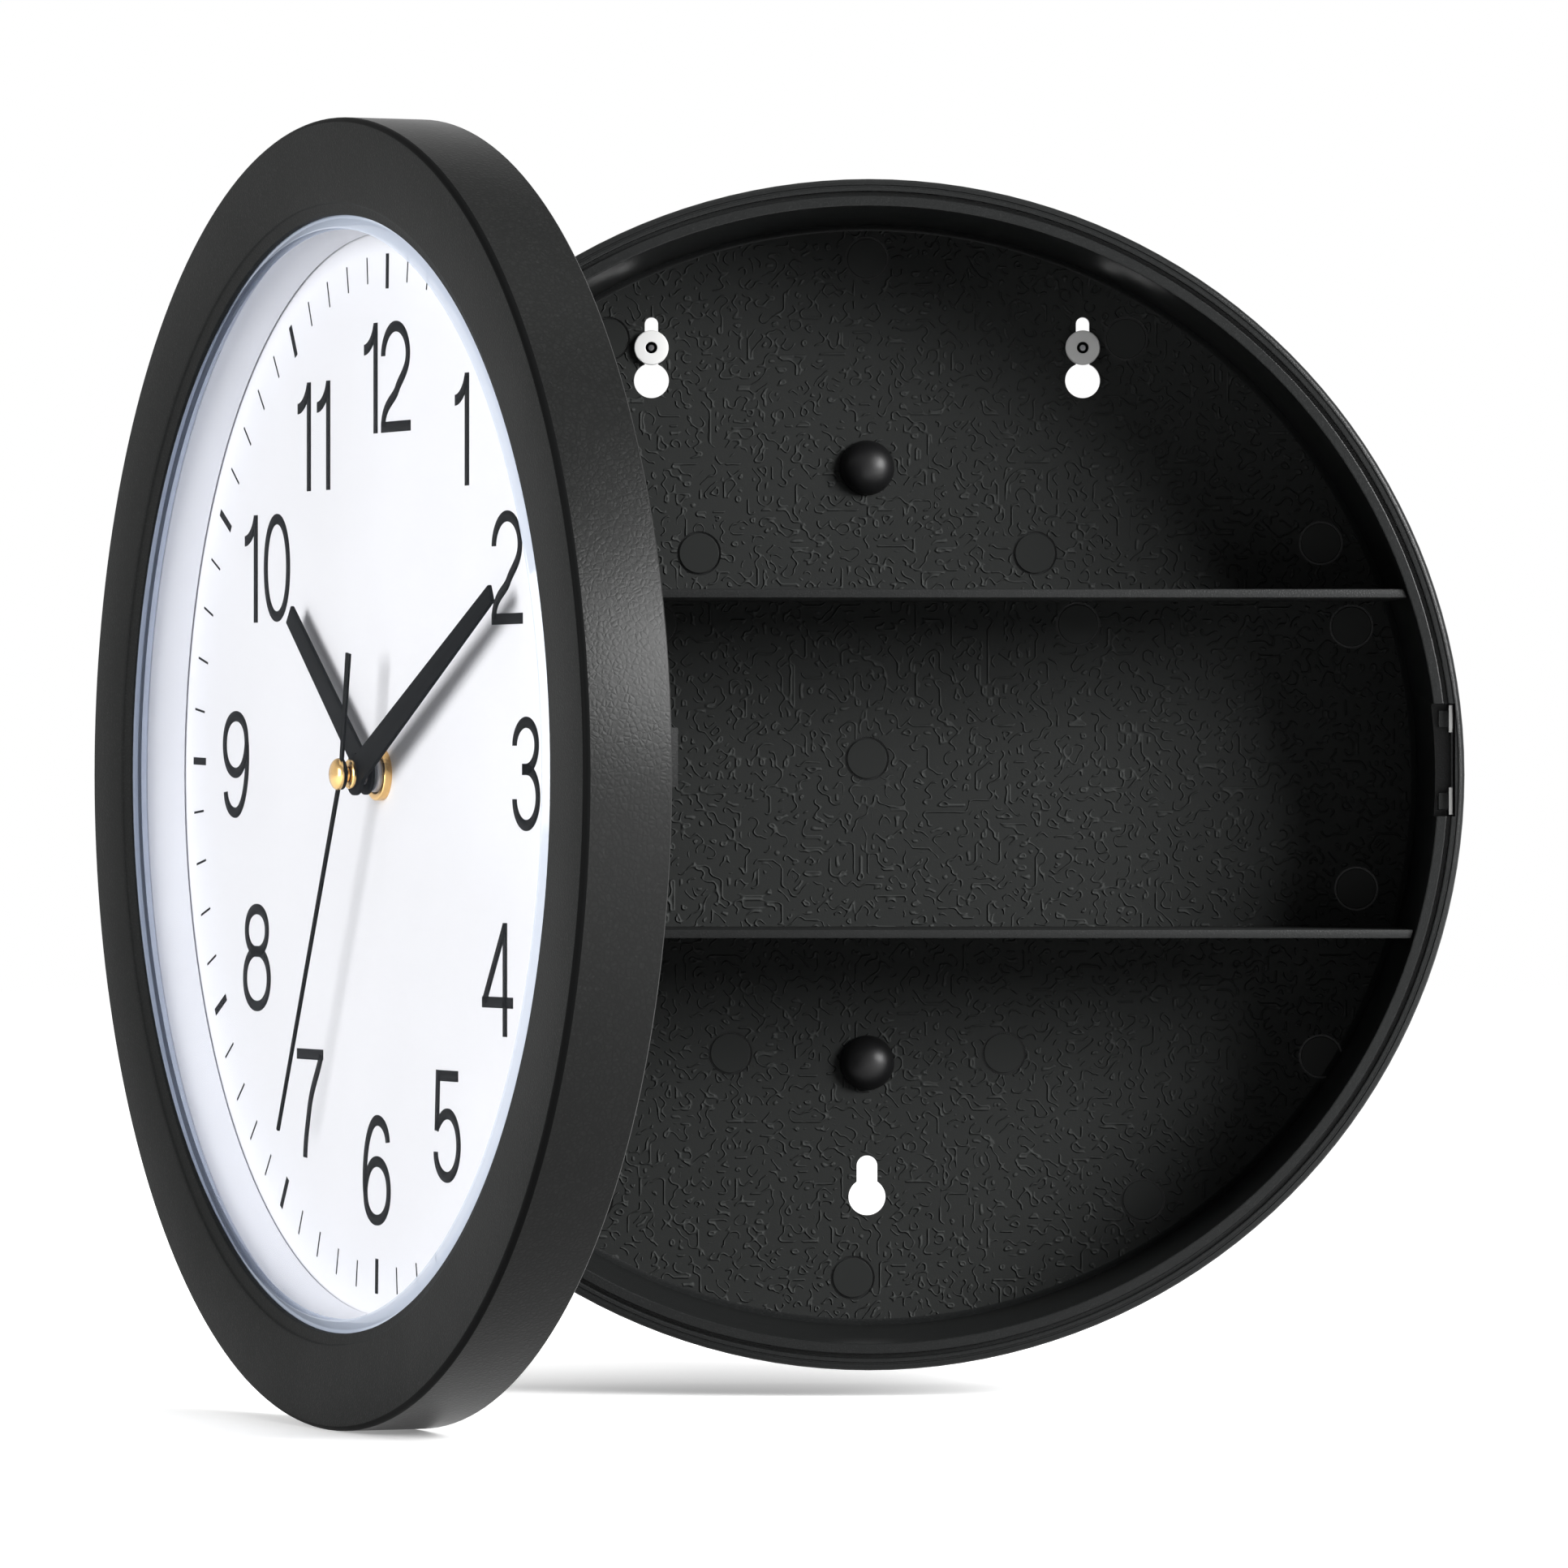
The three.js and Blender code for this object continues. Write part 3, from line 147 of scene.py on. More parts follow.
# Where the hands point, degrees clockwise from twelve
HOUR_ANGLE = 308.5
MINUTE_ANGLE = 63.4
SECOND_ANGLE = 205.2

FACE = Matrix(((1, 0, 0, 0), (0, 0, -1, 0), (0, 1, 0, 0), (0, 0, 0, 1)))
ON_CASE = Matrix.Translation((0, -CASE_DEPTH * MM, 0)) @ Matrix.Scale(MM, 4) @ FACE
SWING = Matrix.Translation(HINGE) @ Matrix.Rotation(-OPEN, 4, "Z") @ Matrix.Translation(-HINGE)
ON_DOOR = SWING @ ON_CASE


# Modelling

def deselect():
    bpy.ops.object.select_all(action="DESELECT")


def pick(piece):
    deselect()
    piece.select_set(True)
    bpy.context.view_layer.objects.active = piece


def edit(piece, mode="VERT", action="SELECT"):
    pick(piece)
    bpy.ops.object.mode_set(mode="EDIT")
    bpy.ops.mesh.select_mode(type=mode)
    bpy.ops.mesh.select_all(action=action)


def leave():
    bpy.ops.object.mode_set(mode="OBJECT")


def choose(piece, verts=None, edges=None, faces=None):
    """Selects parts of the mesh being edited, by a test on each."""
    mesh = bmesh.from_edit_mesh(piece.data)
    for test, parts in ((verts, mesh.verts), (edges, mesh.edges), (faces, mesh.faces)):
        if test:
            for part in parts:
                if test(part):
                    part.select_set(True)
    mesh.select_flush(True)
    bmesh.update_edit_mesh(piece.data)


def started(name):
    piece = bpy.context.object
    piece.name = name
    return piece


def turned(name, profile, steps=RING_STEPS):
    """Turns (radius, z) points about the z axis. The outline closes on itself or on the axis."""
    rings = [point for point in profile if point[0] > 0]
    radius, height = rings[0]
    deselect()
    bpy.ops.mesh.primitive_circle_add(vertices=steps, radius=radius)
    piece = started(name)
    edit(piece)
    bpy.ops.transform.translate(value=(0, 0, height))
    for r, z in rings[1:]:
        bpy.ops.mesh.extrude_region_move(TRANSFORM_OT_translate={"value": (0, 0, z - height)})
        bpy.ops.transform.resize(value=(r / radius, r / radius, 1), center_override=(0, 0, z))
        radius, height = r, z
    if profile[-1][0] == 0:
        close_on_axis(profile[-1][1] - height)
    on_first = ring_test(*rings[0])
    if profile[0][0] == 0:
        bpy.ops.mesh.select_all(action="DESELECT")
        choose(piece, verts=on_first)
        close_on_axis(profile[0][1] - rings[0][1])
    elif profile[-1][0] > 0:
        choose(piece, verts=on_first)
        bpy.ops.mesh.bridge_edge_loops()
    bpy.ops.mesh.select_all(action="SELECT")
    bpy.ops.mesh.normals_make_consistent(inside=False)
    leave()
    return piece


def close_on_axis(dz):
    bpy.ops.mesh.extrude_region_move(TRANSFORM_OT_translate={"value": (0, 0, dz)})
    bpy.ops.mesh.merge(type="CENTER")


def ring_test(radius, height, slack=0.01):
    return lambda v: abs(hypot(v.co.x, v.co.y) - radius) < slack and abs(v.co.z - height) < slack


def arc(r, z, radius, start, end, steps=5):
    """Points of a rounding about (r, z), from one angle to another in degrees."""
    turn = (end - start) / steps
    angles = [radians(start + turn * i) for i in range(steps + 1)]
    return [(r + radius * cos(a), z + radius * sin(a)) for a in angles]


def bar(name, radius, low, high, x=0, y=0, steps=HUB_STEPS):
    """A round bar along z."""
    piece = turned(name, [(0, low), (radius, low), (radius, high), (0, high)], steps)
    return moved(piece, (x, y, 0))


def moved(piece, by):
    piece.data.transform(Matrix.Translation(by))
    return piece


def turned_flat(piece, clock_deg):
    """Turns a piece on the face, clockwise from twelve."""
    piece.data.transform(Matrix.Rotation(-radians(clock_deg), 4, "Z"))
    return piece


def block(name, x, y, z):
    """A box between the two values given for each axis."""
    spans = (x, y, z)
    deselect()
    bpy.ops.mesh.primitive_cube_add(size=1)
    piece = started(name)
    edit(piece)
    bpy.ops.transform.resize(value=[high - low for low, high in spans], center_override=(0, 0, 0))
    bpy.ops.transform.translate(value=[(low + high) / 2 for low, high in spans])
    leave()
    return piece


def upright_bar(name, radius, x, z, low, high, steps=HUB_STEPS):
    """A round bar along y."""
    piece = turned(name, [(0, low), (radius, low), (radius, high), (0, high)], steps)
    piece.data.transform(Matrix.Translation((x, 0, z)) @ Matrix.Rotation(-pi / 2, 4, "X"))
    return piece


def applied(piece, kind, **settings):
    pick(piece)
    modifier = piece.modifiers.new(kind.lower(), kind)
    for key, value in settings.items():
        setattr(modifier, key, value)
    bpy.ops.object.modifier_apply(modifier=modifier.name)
    return piece


def cleaned(piece, reach=0.004):
    """Merges points and drops slivers that a cut or a bevel leaves."""
    edit(piece)
    bpy.ops.mesh.remove_doubles(threshold=reach)
    bpy.ops.mesh.dissolve_degenerate(threshold=reach)
    leave()
    return piece


def merge_solid(piece, other, operation):
    applied(piece, "BOOLEAN", operation=operation, solver="EXACT", object=other)
    bpy.data.objects.remove(other)
    return cleaned(piece)


def cut(piece, *tools):
    for tool in tools:
        merge_solid(piece, tool, "DIFFERENCE")
    return piece


def join(piece, *others):
    for other in others:
        merge_solid(piece, other, "UNION")
    return piece


def group(name, pieces):
    """Puts separate solids into one piece."""
    pick(pieces[0])
    for piece in pieces:
        piece.select_set(True)
    bpy.ops.object.join()
    return started(name)


def soften(piece, width, segments=2, angle=35):
    applied(piece, "BEVEL", width=width, segments=segments, limit_method="ANGLE", angle_limit=radians(angle))
    return shade(cleaned(piece))


def shade(piece, angle=32):
    pick(piece)
    bpy.ops.object.shade_smooth_by_angle(angle=radians(angle))
    return piece


def keep_flats(piece):
    """Shades the faces square to z flat, so that the roundings beside them don't tilt their shine."""
    for face in piece.data.polygons:
        face.use_smooth = abs(face.normal.z) < 0.999


def give(piece, index, test):
    """Gives one of the piece's finishes to the faces that pass a test on their centre."""
    for face in piece.data.polygons:
        if test(face.center):
            face.material_index = index


def at(depth):
    """Height of a point that lies that far behind the front of the bezel."""
    return FRONT_Z - depth


def on_face(radius, clock_deg):
    angle = radians(clock_deg)
    return radius * sin(angle), radius * cos(angle)


def fit(piece, where, body, slot, material, *nodes):
    """Puts a finished piece in its place on the object."""
    piece.data.transform(where)
    piece.data.update()
    chosen = [face.material_index for face in piece.data.polygons]
    piece.data.materials.clear()
    finishes = material if isinstance(material, tuple) else (material,)
    for finish in finishes:
        piece.data.materials.append(finish)
    for face, index in zip(piece.data.polygons, chosen):
        face.material_index = min(index, len(finishes) - 1)
    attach(piece, body)
    if nodes:
        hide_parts(*nodes)
    return piece


# Materials

def node_tree_group(name, inputs, outputs):
    tree = bpy.data.node_groups.new(name, "ShaderNodeTree")
    for label, default in inputs:
        socket = tree.interface.new_socket(label, in_out="INPUT", socket_type="NodeSocketFloat")
        socket.default_value = default
    for label, kind in outputs:
        tree.interface.new_socket(label, in_out="OUTPUT", socket_type=kind)
    tree.nodes.new("NodeGroupInput")
    tree.nodes.new("NodeGroupOutput")
    return tree


def add(tree, kind, **settings):
    node = tree.nodes.new(kind)
    for key, value in settings.items():
        setattr(node, key, value)
    return node


def link(tree, source, target):
    tree.links.new(source, target)


def math(tree, operation, a, b=None, clamp=False):
    node = add(tree, "ShaderNodeMath", operation=operation, use_clamp=clamp)
    for i, value in enumerate((a, b)):
        if value is None:
            continue
        if isinstance(value, bpy.types.NodeSocket):
            link(tree, value, node.inputs[i])
        else:
            node.inputs[i].default_value = value
    return node.outputs[0]


def noise(tree, scale, detail=2.0, roughness=0.5, vector=None):
    node = add(tree, "ShaderNodeTexNoise")
    node.inputs["Detail"].default_value = detail
    node.inputs["Roughness"].default_value = roughness
    if isinstance(scale, bpy.types.NodeSocket):
        link(tree, scale, node.inputs["Scale"])
    else:
        node.inputs["Scale"].default_value = scale
    if vector is None:
        vector = add(tree, "ShaderNodeTexCoord").outputs["Object"]
    link(tree, vector, node.inputs["Vector"])
    return node.outputs["Fac"]


def spread(tree, value, from_low, from_high, to_low, to_high):
    node = add(tree, "ShaderNodeMapRange")
    link(tree, value, node.inputs["Value"])
    limits = {"From Min": from_low, "From Max": from_high, "To Min": to_low, "To Max": to_high}
    for label, number in limits.items():
        if isinstance(number, bpy.types.NodeSocket):
            link(tree, number, node.inputs[label])
        else:
            node.inputs[label].default_value = number
    return node.outputs["Result"]


def make_grain():
    """Fine leather-like grain of moulded plastic: rounded pebbles with creases between them."""
    tree = node_tree_group("moulded grain", [("Scale", 1500)], [("Height", "NodeSocketFloat")])
    given = tree.nodes["Group Input"].outputs
    place = add(tree, "ShaderNodeTexCoord").outputs["Object"]
    cells = add(tree, "ShaderNodeTexVoronoi", feature="DISTANCE_TO_EDGE")
    link(tree, place, cells.inputs["Vector"])
    link(tree, given["Scale"], cells.inputs["Scale"])
    pebble = spread(tree, cells.outputs["Distance"], 0.0, 0.28, 0.0, 1.0)
    blur = noise(tree, math(tree, "MULTIPLY", given["Scale"], 0.6), 3.0, 0.6, place)
    height = math(tree, "MULTIPLY", pebble, spread(tree, blur, 0.3, 0.7, 0.25, 1.0))
    link(tree, height, tree.nodes["Group Output"].inputs["Height"])
    return tree


def make_curls():
    """Raised curls: level lines of a smooth noise, broken up by a second one."""
    tree = node_tree_group("embossed curls", [("Scale", 400), ("Density", 3.3), ("Width", 0.19)],
                           [("Height", "NodeSocketFloat")])
    given = tree.nodes["Group Input"].outputs
    place = add(tree, "ShaderNodeTexCoord").outputs["Object"]
    field = noise(tree, given["Scale"], 0.0, 0.4, place)
    levels = math(tree, "FRACT", math(tree, "MULTIPLY", field, given["Density"]))
    ridge = math(tree, "ABSOLUTE", math(tree, "SUBTRACT", levels, 0.5))
    line = spread(tree, ridge, 0.0, given["Width"], 1.0, 0.0)
    gaps = noise(tree, math(tree, "MULTIPLY", given["Scale"], 0.95), 0.0, 0.5, place)
    kept = spread(tree, gaps, 0.43, 0.49, 0.0, 1.0)
    link(tree, math(tree, "MULTIPLY", line, kept), tree.nodes["Group Output"].inputs["Height"])
    return tree


def make_handling():
    """Faint uneven gloss from handling, and a mask of small specks of dust."""
    tree = node_tree_group("handling", [("Scale", 40), ("Amount", 0.5)],
                           [("Gloss", "NodeSocketFloat"), ("Dust", "NodeSocketFloat")])
    given = tree.nodes["Group Input"].outputs
    place = add(tree, "ShaderNodeTexCoord").outputs["Object"]
    broad = noise(tree, given["Scale"], 4.0, 0.6, place)
    fine = noise(tree, math(tree, "MULTIPLY", given["Scale"], 60.0), 2.0, 0.5, place)
    gloss = math(tree, "MULTIPLY", spread(tree, broad, 0.3, 0.7, -0.5, 0.5), given["Amount"])
    out = tree.nodes["Group Output"].inputs
    link(tree, gloss, out["Gloss"])
    link(tree, math(tree, "MULTIPLY", spread(tree, fine, 0.62, 0.75, 0.0, 1.0), given["Amount"]), out["Dust"])
    return tree


GRAIN = make_grain()
CURLS = make_curls()
HANDLING = make_handling()


class Finish:
    """One material: a shader whose colour, roughness and bump are fed by what is laid on it."""

    def __init__(self, name, color, roughness, metallic=0.0, specular=0.5):
        self.material = bpy.data.materials.new(name)
        self.material.use_nodes = True
        self.tree = self.material.node_tree
        self.shader = self.tree.nodes["Principled BSDF"]
        self.color = (*color, 1.0)
        self.roughness = roughness
        self.shader.inputs["Base Color"].default_value = self.color
        self.shader.inputs["Roughness"].default_value = roughness
        self.shader.inputs["Metallic"].default_value = metallic
        self.shader.inputs["Specular IOR Level"].default_value = specular

    def group(self, tree, **values):
        node = add(self.tree, "ShaderNodeGroup", node_tree=tree)
        for key, value in values.items():
            node.inputs[key].default_value = value
        return node.outputs

    def tint(self, mask, color, amount=1.0):
        """Mixes the colour toward another where the mask is high."""
        mix = add(self.tree, "ShaderNodeMix", data_type="RGBA")
        link(self.tree, math(self.tree, "MULTIPLY", mask, amount, clamp=True), mix.inputs[0])
        base = self.shader.inputs["Base Color"]
        if base.is_linked:
            link(self.tree, base.links[0].from_socket, mix.inputs[6])
        else:
            mix.inputs[6].default_value = self.color
        mix.inputs[7].default_value = (*color, 1.0)
        link(self.tree, mix.outputs[2], base)

    def handled(self, scale=40, amount=0.2):
        """Uneven gloss and faint specks of dust."""
        handling = self.group(HANDLING, Scale=scale, Amount=amount)
        rough = math(self.tree, "ADD", handling["Gloss"], self.roughness, clamp=True)
        link(self.tree, rough, self.shader.inputs["Roughness"])
        return handling

    def bump(self, height, distance):
        """Lays a relief of that depth in metres over what is there already."""
        node = add(self.tree, "ShaderNodeBump")
        node.inputs["Distance"].default_value = distance
        link(self.tree, height, node.inputs["Height"])
        normal = self.shader.inputs["Normal"]
        if normal.is_linked:
            link(self.tree, normal.links[0].from_socket, node.inputs["Normal"])
        link(self.tree, node.outputs["Normal"], normal)


def grained_plastic(name, color, roughness, scale, depth, specular=0.4):
    finish = Finish(name, color, roughness, specular=specular)
    grain = finish.group(GRAIN, Scale=scale)
    lighter = tuple(min(1.0, c * 1.6 + 0.004) for c in color)
    finish.tint(grain["Height"], lighter, 0.5)
    handling = finish.handled(35, 0.05)
    finish.tint(handling["Dust"], (0.3, 0.3, 0.3), 0.5)
    finish.bump(grain["Height"], depth)
    return finish.material


def smooth_plastic(name, color, roughness, specular=0.5, depth=0.00001):
    finish = Finish(name, color, roughness, specular=specular)
    ripple = noise(finish.tree, 900, 3.0)
    cloudy = spread(finish.tree, noise(finish.tree, 14, 3.0), 0.4, 0.7, 0.0, 1.0)
    finish.tint(cloudy, tuple(c * 0.9 for c in color), 0.5)
    finish.handled(30, 0.14)
    finish.bump(ripple, depth)
    return finish.material


def turned_metal(name, color, roughness):
    finish = Finish(name, color, roughness, metallic=1.0)
    dulled = spread(finish.tree, noise(finish.tree, 260, 4.0), 0.45, 0.75, 0.0, 1.0)
    finish.tint(dulled, tuple(c * 0.7 for c in color), 0.5)
    finish.handled(120, 0.18)
    finish.bump(noise(finish.tree, 4000, 2.0), 0.000008)
    return finish.material


def panel_plastic(name, color, roughness, specular):
    """The flat back panel inside the case, with curls embossed all over it and their tops tinted lighter as a
    painted highlight.
    """
    finish = Finish(name, color, roughness, specular=specular)
    raised = finish.group(CURLS)["Height"]
    # The curls' tops are tinted lighter: a painted highlight along the emboss.
    finish.tint(raised, tuple(c * 2.5 for c in color), 0.7)
    handling = finish.handled(30, 0.14)
    finish.tint(handling["Dust"], (0.2, 0.2, 0.2), 0.2)
    finish.bump(finish.group(GRAIN, Scale=1800)["Height"], 0.00001)
    finish.bump(raised, 0.00036)
    return finish.material


def clear_lens(name, tint, low, high):
    """Clear plastic: see-through face on, with a reflection that grows at a slant. Where it turns opaque, its
    tint shows as a painted reflection.
    """
    finish = Finish(name, tint, 0.04)
    tree = finish.tree
    fresnel = add(tree, "ShaderNodeFresnel")
    fresnel.inputs["IOR"].default_value = 1.49
    inside = add(tree, "ShaderNodeNewGeometry").outputs["Backfacing"]
    mirrored = math(tree, "MULTIPLY", fresnel.outputs[0], math(tree, "SUBTRACT", 1.0, inside))
    link(tree, spread(tree, mirrored, 0.0, 1.0, low, high), finish.shader.inputs["Alpha"])
    finish.bump(noise(tree, 25, 1.0), 0.00002)
    return finish.material


CASE_PLASTIC = grained_plastic("case plastic", (0.0085, 0.009, 0.009), 0.3, 1800, 0.00002, 0.13)
PANEL_PLASTIC = panel_plastic("panel plastic", (0.021, 0.022, 0.0215), 0.5, 0.03)
SHELF_PLASTIC = grained_plastic("shelf plastic", (0.012, 0.0125, 0.0125), 0.45, 1800, 0.00003, 0.1)
# Pale grey put on the fronts of the latch clip's ends: a painted highlight on the black clip.
HIGHLIGHT_PAINTED_PLASTIC = smooth_plastic("plastic with painted highlight", (0.19, 0.19, 0.185), 0.3, 0.5)
MARK_PLASTIC = smooth_plastic("smooth case plastic", (0.018, 0.019, 0.0185), 0.42, 0.05)
BEZEL_PLASTIC = grained_plastic("door plastic", (0.0105, 0.011, 0.0108), 0.6, 1500, 0.00004, 0.06)
# The door's side: the door plastic in a darker colour, as painted shade, and less rough than the front.
SHADED_SKIRT_PLASTIC = grained_plastic("door side plastic with painted shade", (0.006, 0.0063, 0.0061), 0.33, 900, 0.000022, 0.1)
# Near-black plastic put on the door's edge rounding and in the buttons' recesses: painted shade.
SHADE_PAINTED_PLASTIC = smooth_plastic("dark plastic as painted shade", (0.004, 0.0042, 0.0042), 0.5, 0.02)
COVER_PLASTIC = grained_plastic("door back plastic", (0.009, 0.0093, 0.0093), 0.55, 1300, 0.00005, 0.08)
MOVEMENT_PLASTIC = grained_plastic("movement plastic", (0.013, 0.013, 0.014), 0.45, 2200, 0.00003)
RUBBER = smooth_plastic("black rubber", (0.005, 0.005, 0.0053), 0.4, 0.25, 0.00002)
WHITE_PLASTIC = smooth_plastic("white plastic", (0.83, 0.845, 0.9), 0.42, 0.2)
BUTTON_PLASTIC = smooth_plastic("white button plastic", (0.68, 0.68, 0.675), 0.4, 0.4)
NATURAL_PLASTIC = smooth_plastic("natural plastic", (0.66, 0.65, 0.6), 0.4)
DIAL_FACE = smooth_plastic("dial face", (0.88, 0.885, 0.92), 0.6, 0.1, 0.000004)
PRINT = smooth_plastic("dial ink", (0.011, 0.0115, 0.012), 0.6, 0.03)
HAND_PAINT = smooth_plastic("hand paint", (0.0095, 0.01, 0.01), 0.5, 0.01)
BRASS = turned_metal("brass", (0.78, 0.5, 0.2), 0.26)
STEEL = turned_metal("steel", (0.6, 0.61, 0.63), 0.32)
# Steel darkened for the screws sunk in the buttons: painted shade in their recesses.
SHADE_PAINTED_STEEL = turned_metal("steel darkened as painted shade", (0.12, 0.12, 0.125), 0.4)
COPPER = turned_metal("copper wire", (0.55, 0.24, 0.12), 0.4)
BOARD = smooth_plastic("circuit board", (0.01, 0.09, 0.035), 0.4)
SLEEVE = smooth_plastic("cell sleeve", (0.03, 0.09, 0.14), 0.3)
LENS_CLEAR = clear_lens("lens", (0.08, 0.1, 0.14), 0.002, 0.4)
# The lens's thick edge is near-opaque pale blue: a painted reflection of the clear edge seen end on.
LENS_EDGE_PAINTED_REFLECTION = clear_lens("lens edge with painted reflection", (0.62, 0.69, 0.82), 0.75, 0.95)


# Case

def wall_in_r(z):
    return WALL_IN_R - (WALL_IN_R - WALL_IN_BACK_R) * z / PANEL_Z


def case_room():
    """The space inside the case, run a little into its wall, to cut from what is joined to the wall."""
    into = 1.1
    mouth, end = wall_in_r(1) + into, wall_in_r(PANEL_Z) + into
    return turned("room", [(0, 1), (mouth, 1), (end, PANEL_Z), (0, PANEL_Z)])


def hinge_lugs():
    low = ARM_Y - ARM_H / 2 - HINGE_RUN - LUG_H
    high = ARM_Y + ARM_H / 2 + HINGE_RUN
    lugs = []
    for bottom in (low, high, -low - LUG_H, -high - LUG_H):
        top = bottom + LUG_H
        eye = upright_bar("lug", EYE_R, HINGE_X, HINGE_Z, bottom, top)
        web = block("web", (HINGE_X, HINGE_X + 8), (bottom, top), (HINGE_Z - EYE_R, HINGE_Z + EYE_R))
        lugs.append(cut(join(eye, web), case_room()))
    return lugs


def keyhole(x, y, hole_r, slot_w, rise):
    """A round hole with a round-ended slot above it."""
    top = y + rise + slot_w / 2
    slot = block("slot", (x - slot_w / 2, x + slot_w / 2), (y, top), (PANEL_Z - 5, PANEL_Z + 2))
    edit(slot, "EDGE", "DESELECT")
    choose(slot, edges=lambda e: runs_along_z(e) and e.verts[0].co.y > top - 0.01)
    bpy.ops.mesh.bevel(offset=slot_w * 0.499, segments=10)
    leave()
    return join(bar("hole", hole_r, PANEL_Z - 6, PANEL_Z + 3, x, y, 48), slot)


def runs_along_z(edge):
    start, end = edge.verts
    return hypot(start.co.x - end.co.x, start.co.y - end.co.y) < 0.01


# Round marks on the panel: their size, the groove round them and where they are
MARK_R = 4.15
MARK_GROOVE_W = 0.45
MARK_GROOVE_DEPTH = 0.5
MARK_PLACES = [(0, 107.6), (54, 90.9), (-54, 90.9), (35, 46.2), (-35, 46.2), (94.6, 48.3), (-94.6, 48.3),
               (44, 31.4), (-44, 31.4), (101, 30.9), (-101, 30.9), (0, 3.4), (102, -23.7), (-102, -23.7),
               (28.5, -58), (-28.5, -58), (94.6, -58.7), (-94.6, -58.7), (57.5, -88.6), (-57.5, -88.6),
               (-3, -104.8)]


def mark_grooves():
    grooves = []
    for x, y in MARK_PLACES:
        outer, low, high = MARK_R + MARK_GROOVE_W, PANEL_Z - MARK_GROOVE_DEPTH, PANEL_Z + 1
        ring = turned("groove", [(MARK_R, low), (outer, low), (outer, high), (MARK_R, high)], 40)
        grooves.append(moved(ring, (x, y, 0)))
    return group("grooves", grooves)


def make_case():
    profile = [
        (0, -CASE_DEPTH),
        *arc(WALL_OUT_BACK_R - 2.4, -CASE_DEPTH + 2.4, 2.4, -90, 0),
        (WALL_OUT_R, FLANGE_Z),
        (CASE_R - 0.3, FLANGE_Z),
        (CASE_R, FLANGE_Z + 0.3),
        *arc(CASE_R - 1.1, LIP_Z - 1.1, 1.1, 0, 90, 6),
        (120.3, LIP_Z),
        (120.15, LIP_Z - 0.25),
        (119.9, LIP_Z - 0.25),
        (119.8, LIP_Z),
        *arc(119.25, LIP_Z - 0.25, 0.25, 90, 180, 2),
        (119, LIP_Z - 2.1),
        (118.2, LIP_Z - 2.1),
        *arc(117.95, RING_Z - 0.25, 0.25, 0, 90, 2),
        *arc(WALL_IN_R + 0.3, RING_Z - 0.3, 0.3, 90, 180, 2),
        (wall_in_r(PANEL_Z + 1.2), PANEL_Z + 1.2),
        (wall_in_r(PANEL_Z) - 1.2 + 0.6, PANEL_Z + 0.3),
        (wall_in_r(PANEL_Z) - 1.2, PANEL_Z),
        (0, PANEL_Z),
    ]
    pan = turned("case_pan", profile)
    join(pan, *hinge_lugs())
    reach = CASE_R + 6
    for side in (-1, 1):
        y = side * ARM_Y
        gap = ARM_H / 2 + HINGE_RUN
        cut(pan, block("bay", (-reach, HINGE_X + EYE_R + HINGE_RUN), (y - gap, y + gap),
                       (HINGE_Z - EYE_R - HINGE_RUN, 1)))
    cut(pan, upright_bar("bore", PIN_R + 0.3, HINGE_X, HINGE_Z, -2 * ARM_Y, 2 * ARM_Y))
    cut(pan, keyhole(0, LOWER_HOLE_Y, LOWER_HOLE_R, LOWER_SLOT_W, LOWER_SLOT_RISE))
    for side in (-1, 1):
        cut(pan, keyhole(side * HANGER_X, UPPER_HOLE_Y, UPPER_HOLE_R, UPPER_SLOT_W, UPPER_SLOT_RISE))
    cut(pan, mark_grooves())
    low, high = LATCH_Y - POCKET_H / 2, LATCH_Y + POCKET_H / 2
    cut(pan, block("pocket", (WALL_IN_R - 1, WALL_IN_R + 3.5), (low, high), (RING_Z - POCKET_DEPTH, 1)))
    shade(pan)
    keep_flats(pan)
    # Only faces at the panel's own level take the panel plastic; the grooves round the marks keep the darker
    # case plastic, as painted shade in them.
    give(pan, 1, lambda c: abs(c.z - PANEL_Z) < 0.01)
    return fit(pan, ON_CASE, "case", "case_plastic", (CASE_PLASTIC, PANEL_PLASTIC), "case_shell")


def make_shelves():
    back = PANEL_Z + SHELF_FIT
    mouth, end = wall_in_r(1) - SHELF_FIT, wall_in_r(PANEL_Z) - SHELF_FIT
    upper = ("shelf_top", SHELF_UPPER_Y, "shelf_upper")
    lower = ("shelf_bottom", SHELF_LOWER_Y, "shelf_lower")
    for name, y, node in (upper, lower):
        slab = block(name, (-CASE_R, CASE_R), (y - SHELF_T / 2, y + SHELF_T / 2), (back, SHELF_FRONT_Z))
        merge_solid(slab, turned("room", [(0, 1), (mouth, 1), (end, back), (0, back)]), "INTERSECT")
        soften(slab, 0.3)
        fit(slab, ON_CASE, "case", "case_plastic", SHELF_PLASTIC, node)


def make_ejector_marks():
    """Smooth round marks that the mould's pins leave on the panel."""
    marks = []
    low, high = PANEL_Z - 0.1, PANEL_Z + 0.1
    edge = MARK_R - 0.02
    for x, y in MARK_PLACES:
        disc = turned("mark", [(0, low), (edge, low), (edge, high - 0.08), (edge - 0.1, high), (0, high)], 40)
        marks.append(moved(disc, (x, y, 0)))
    marks = shade(group("ejector_marks", marks))
    fit(marks, ON_CASE, "case", "case_plastic", MARK_PLASTIC)


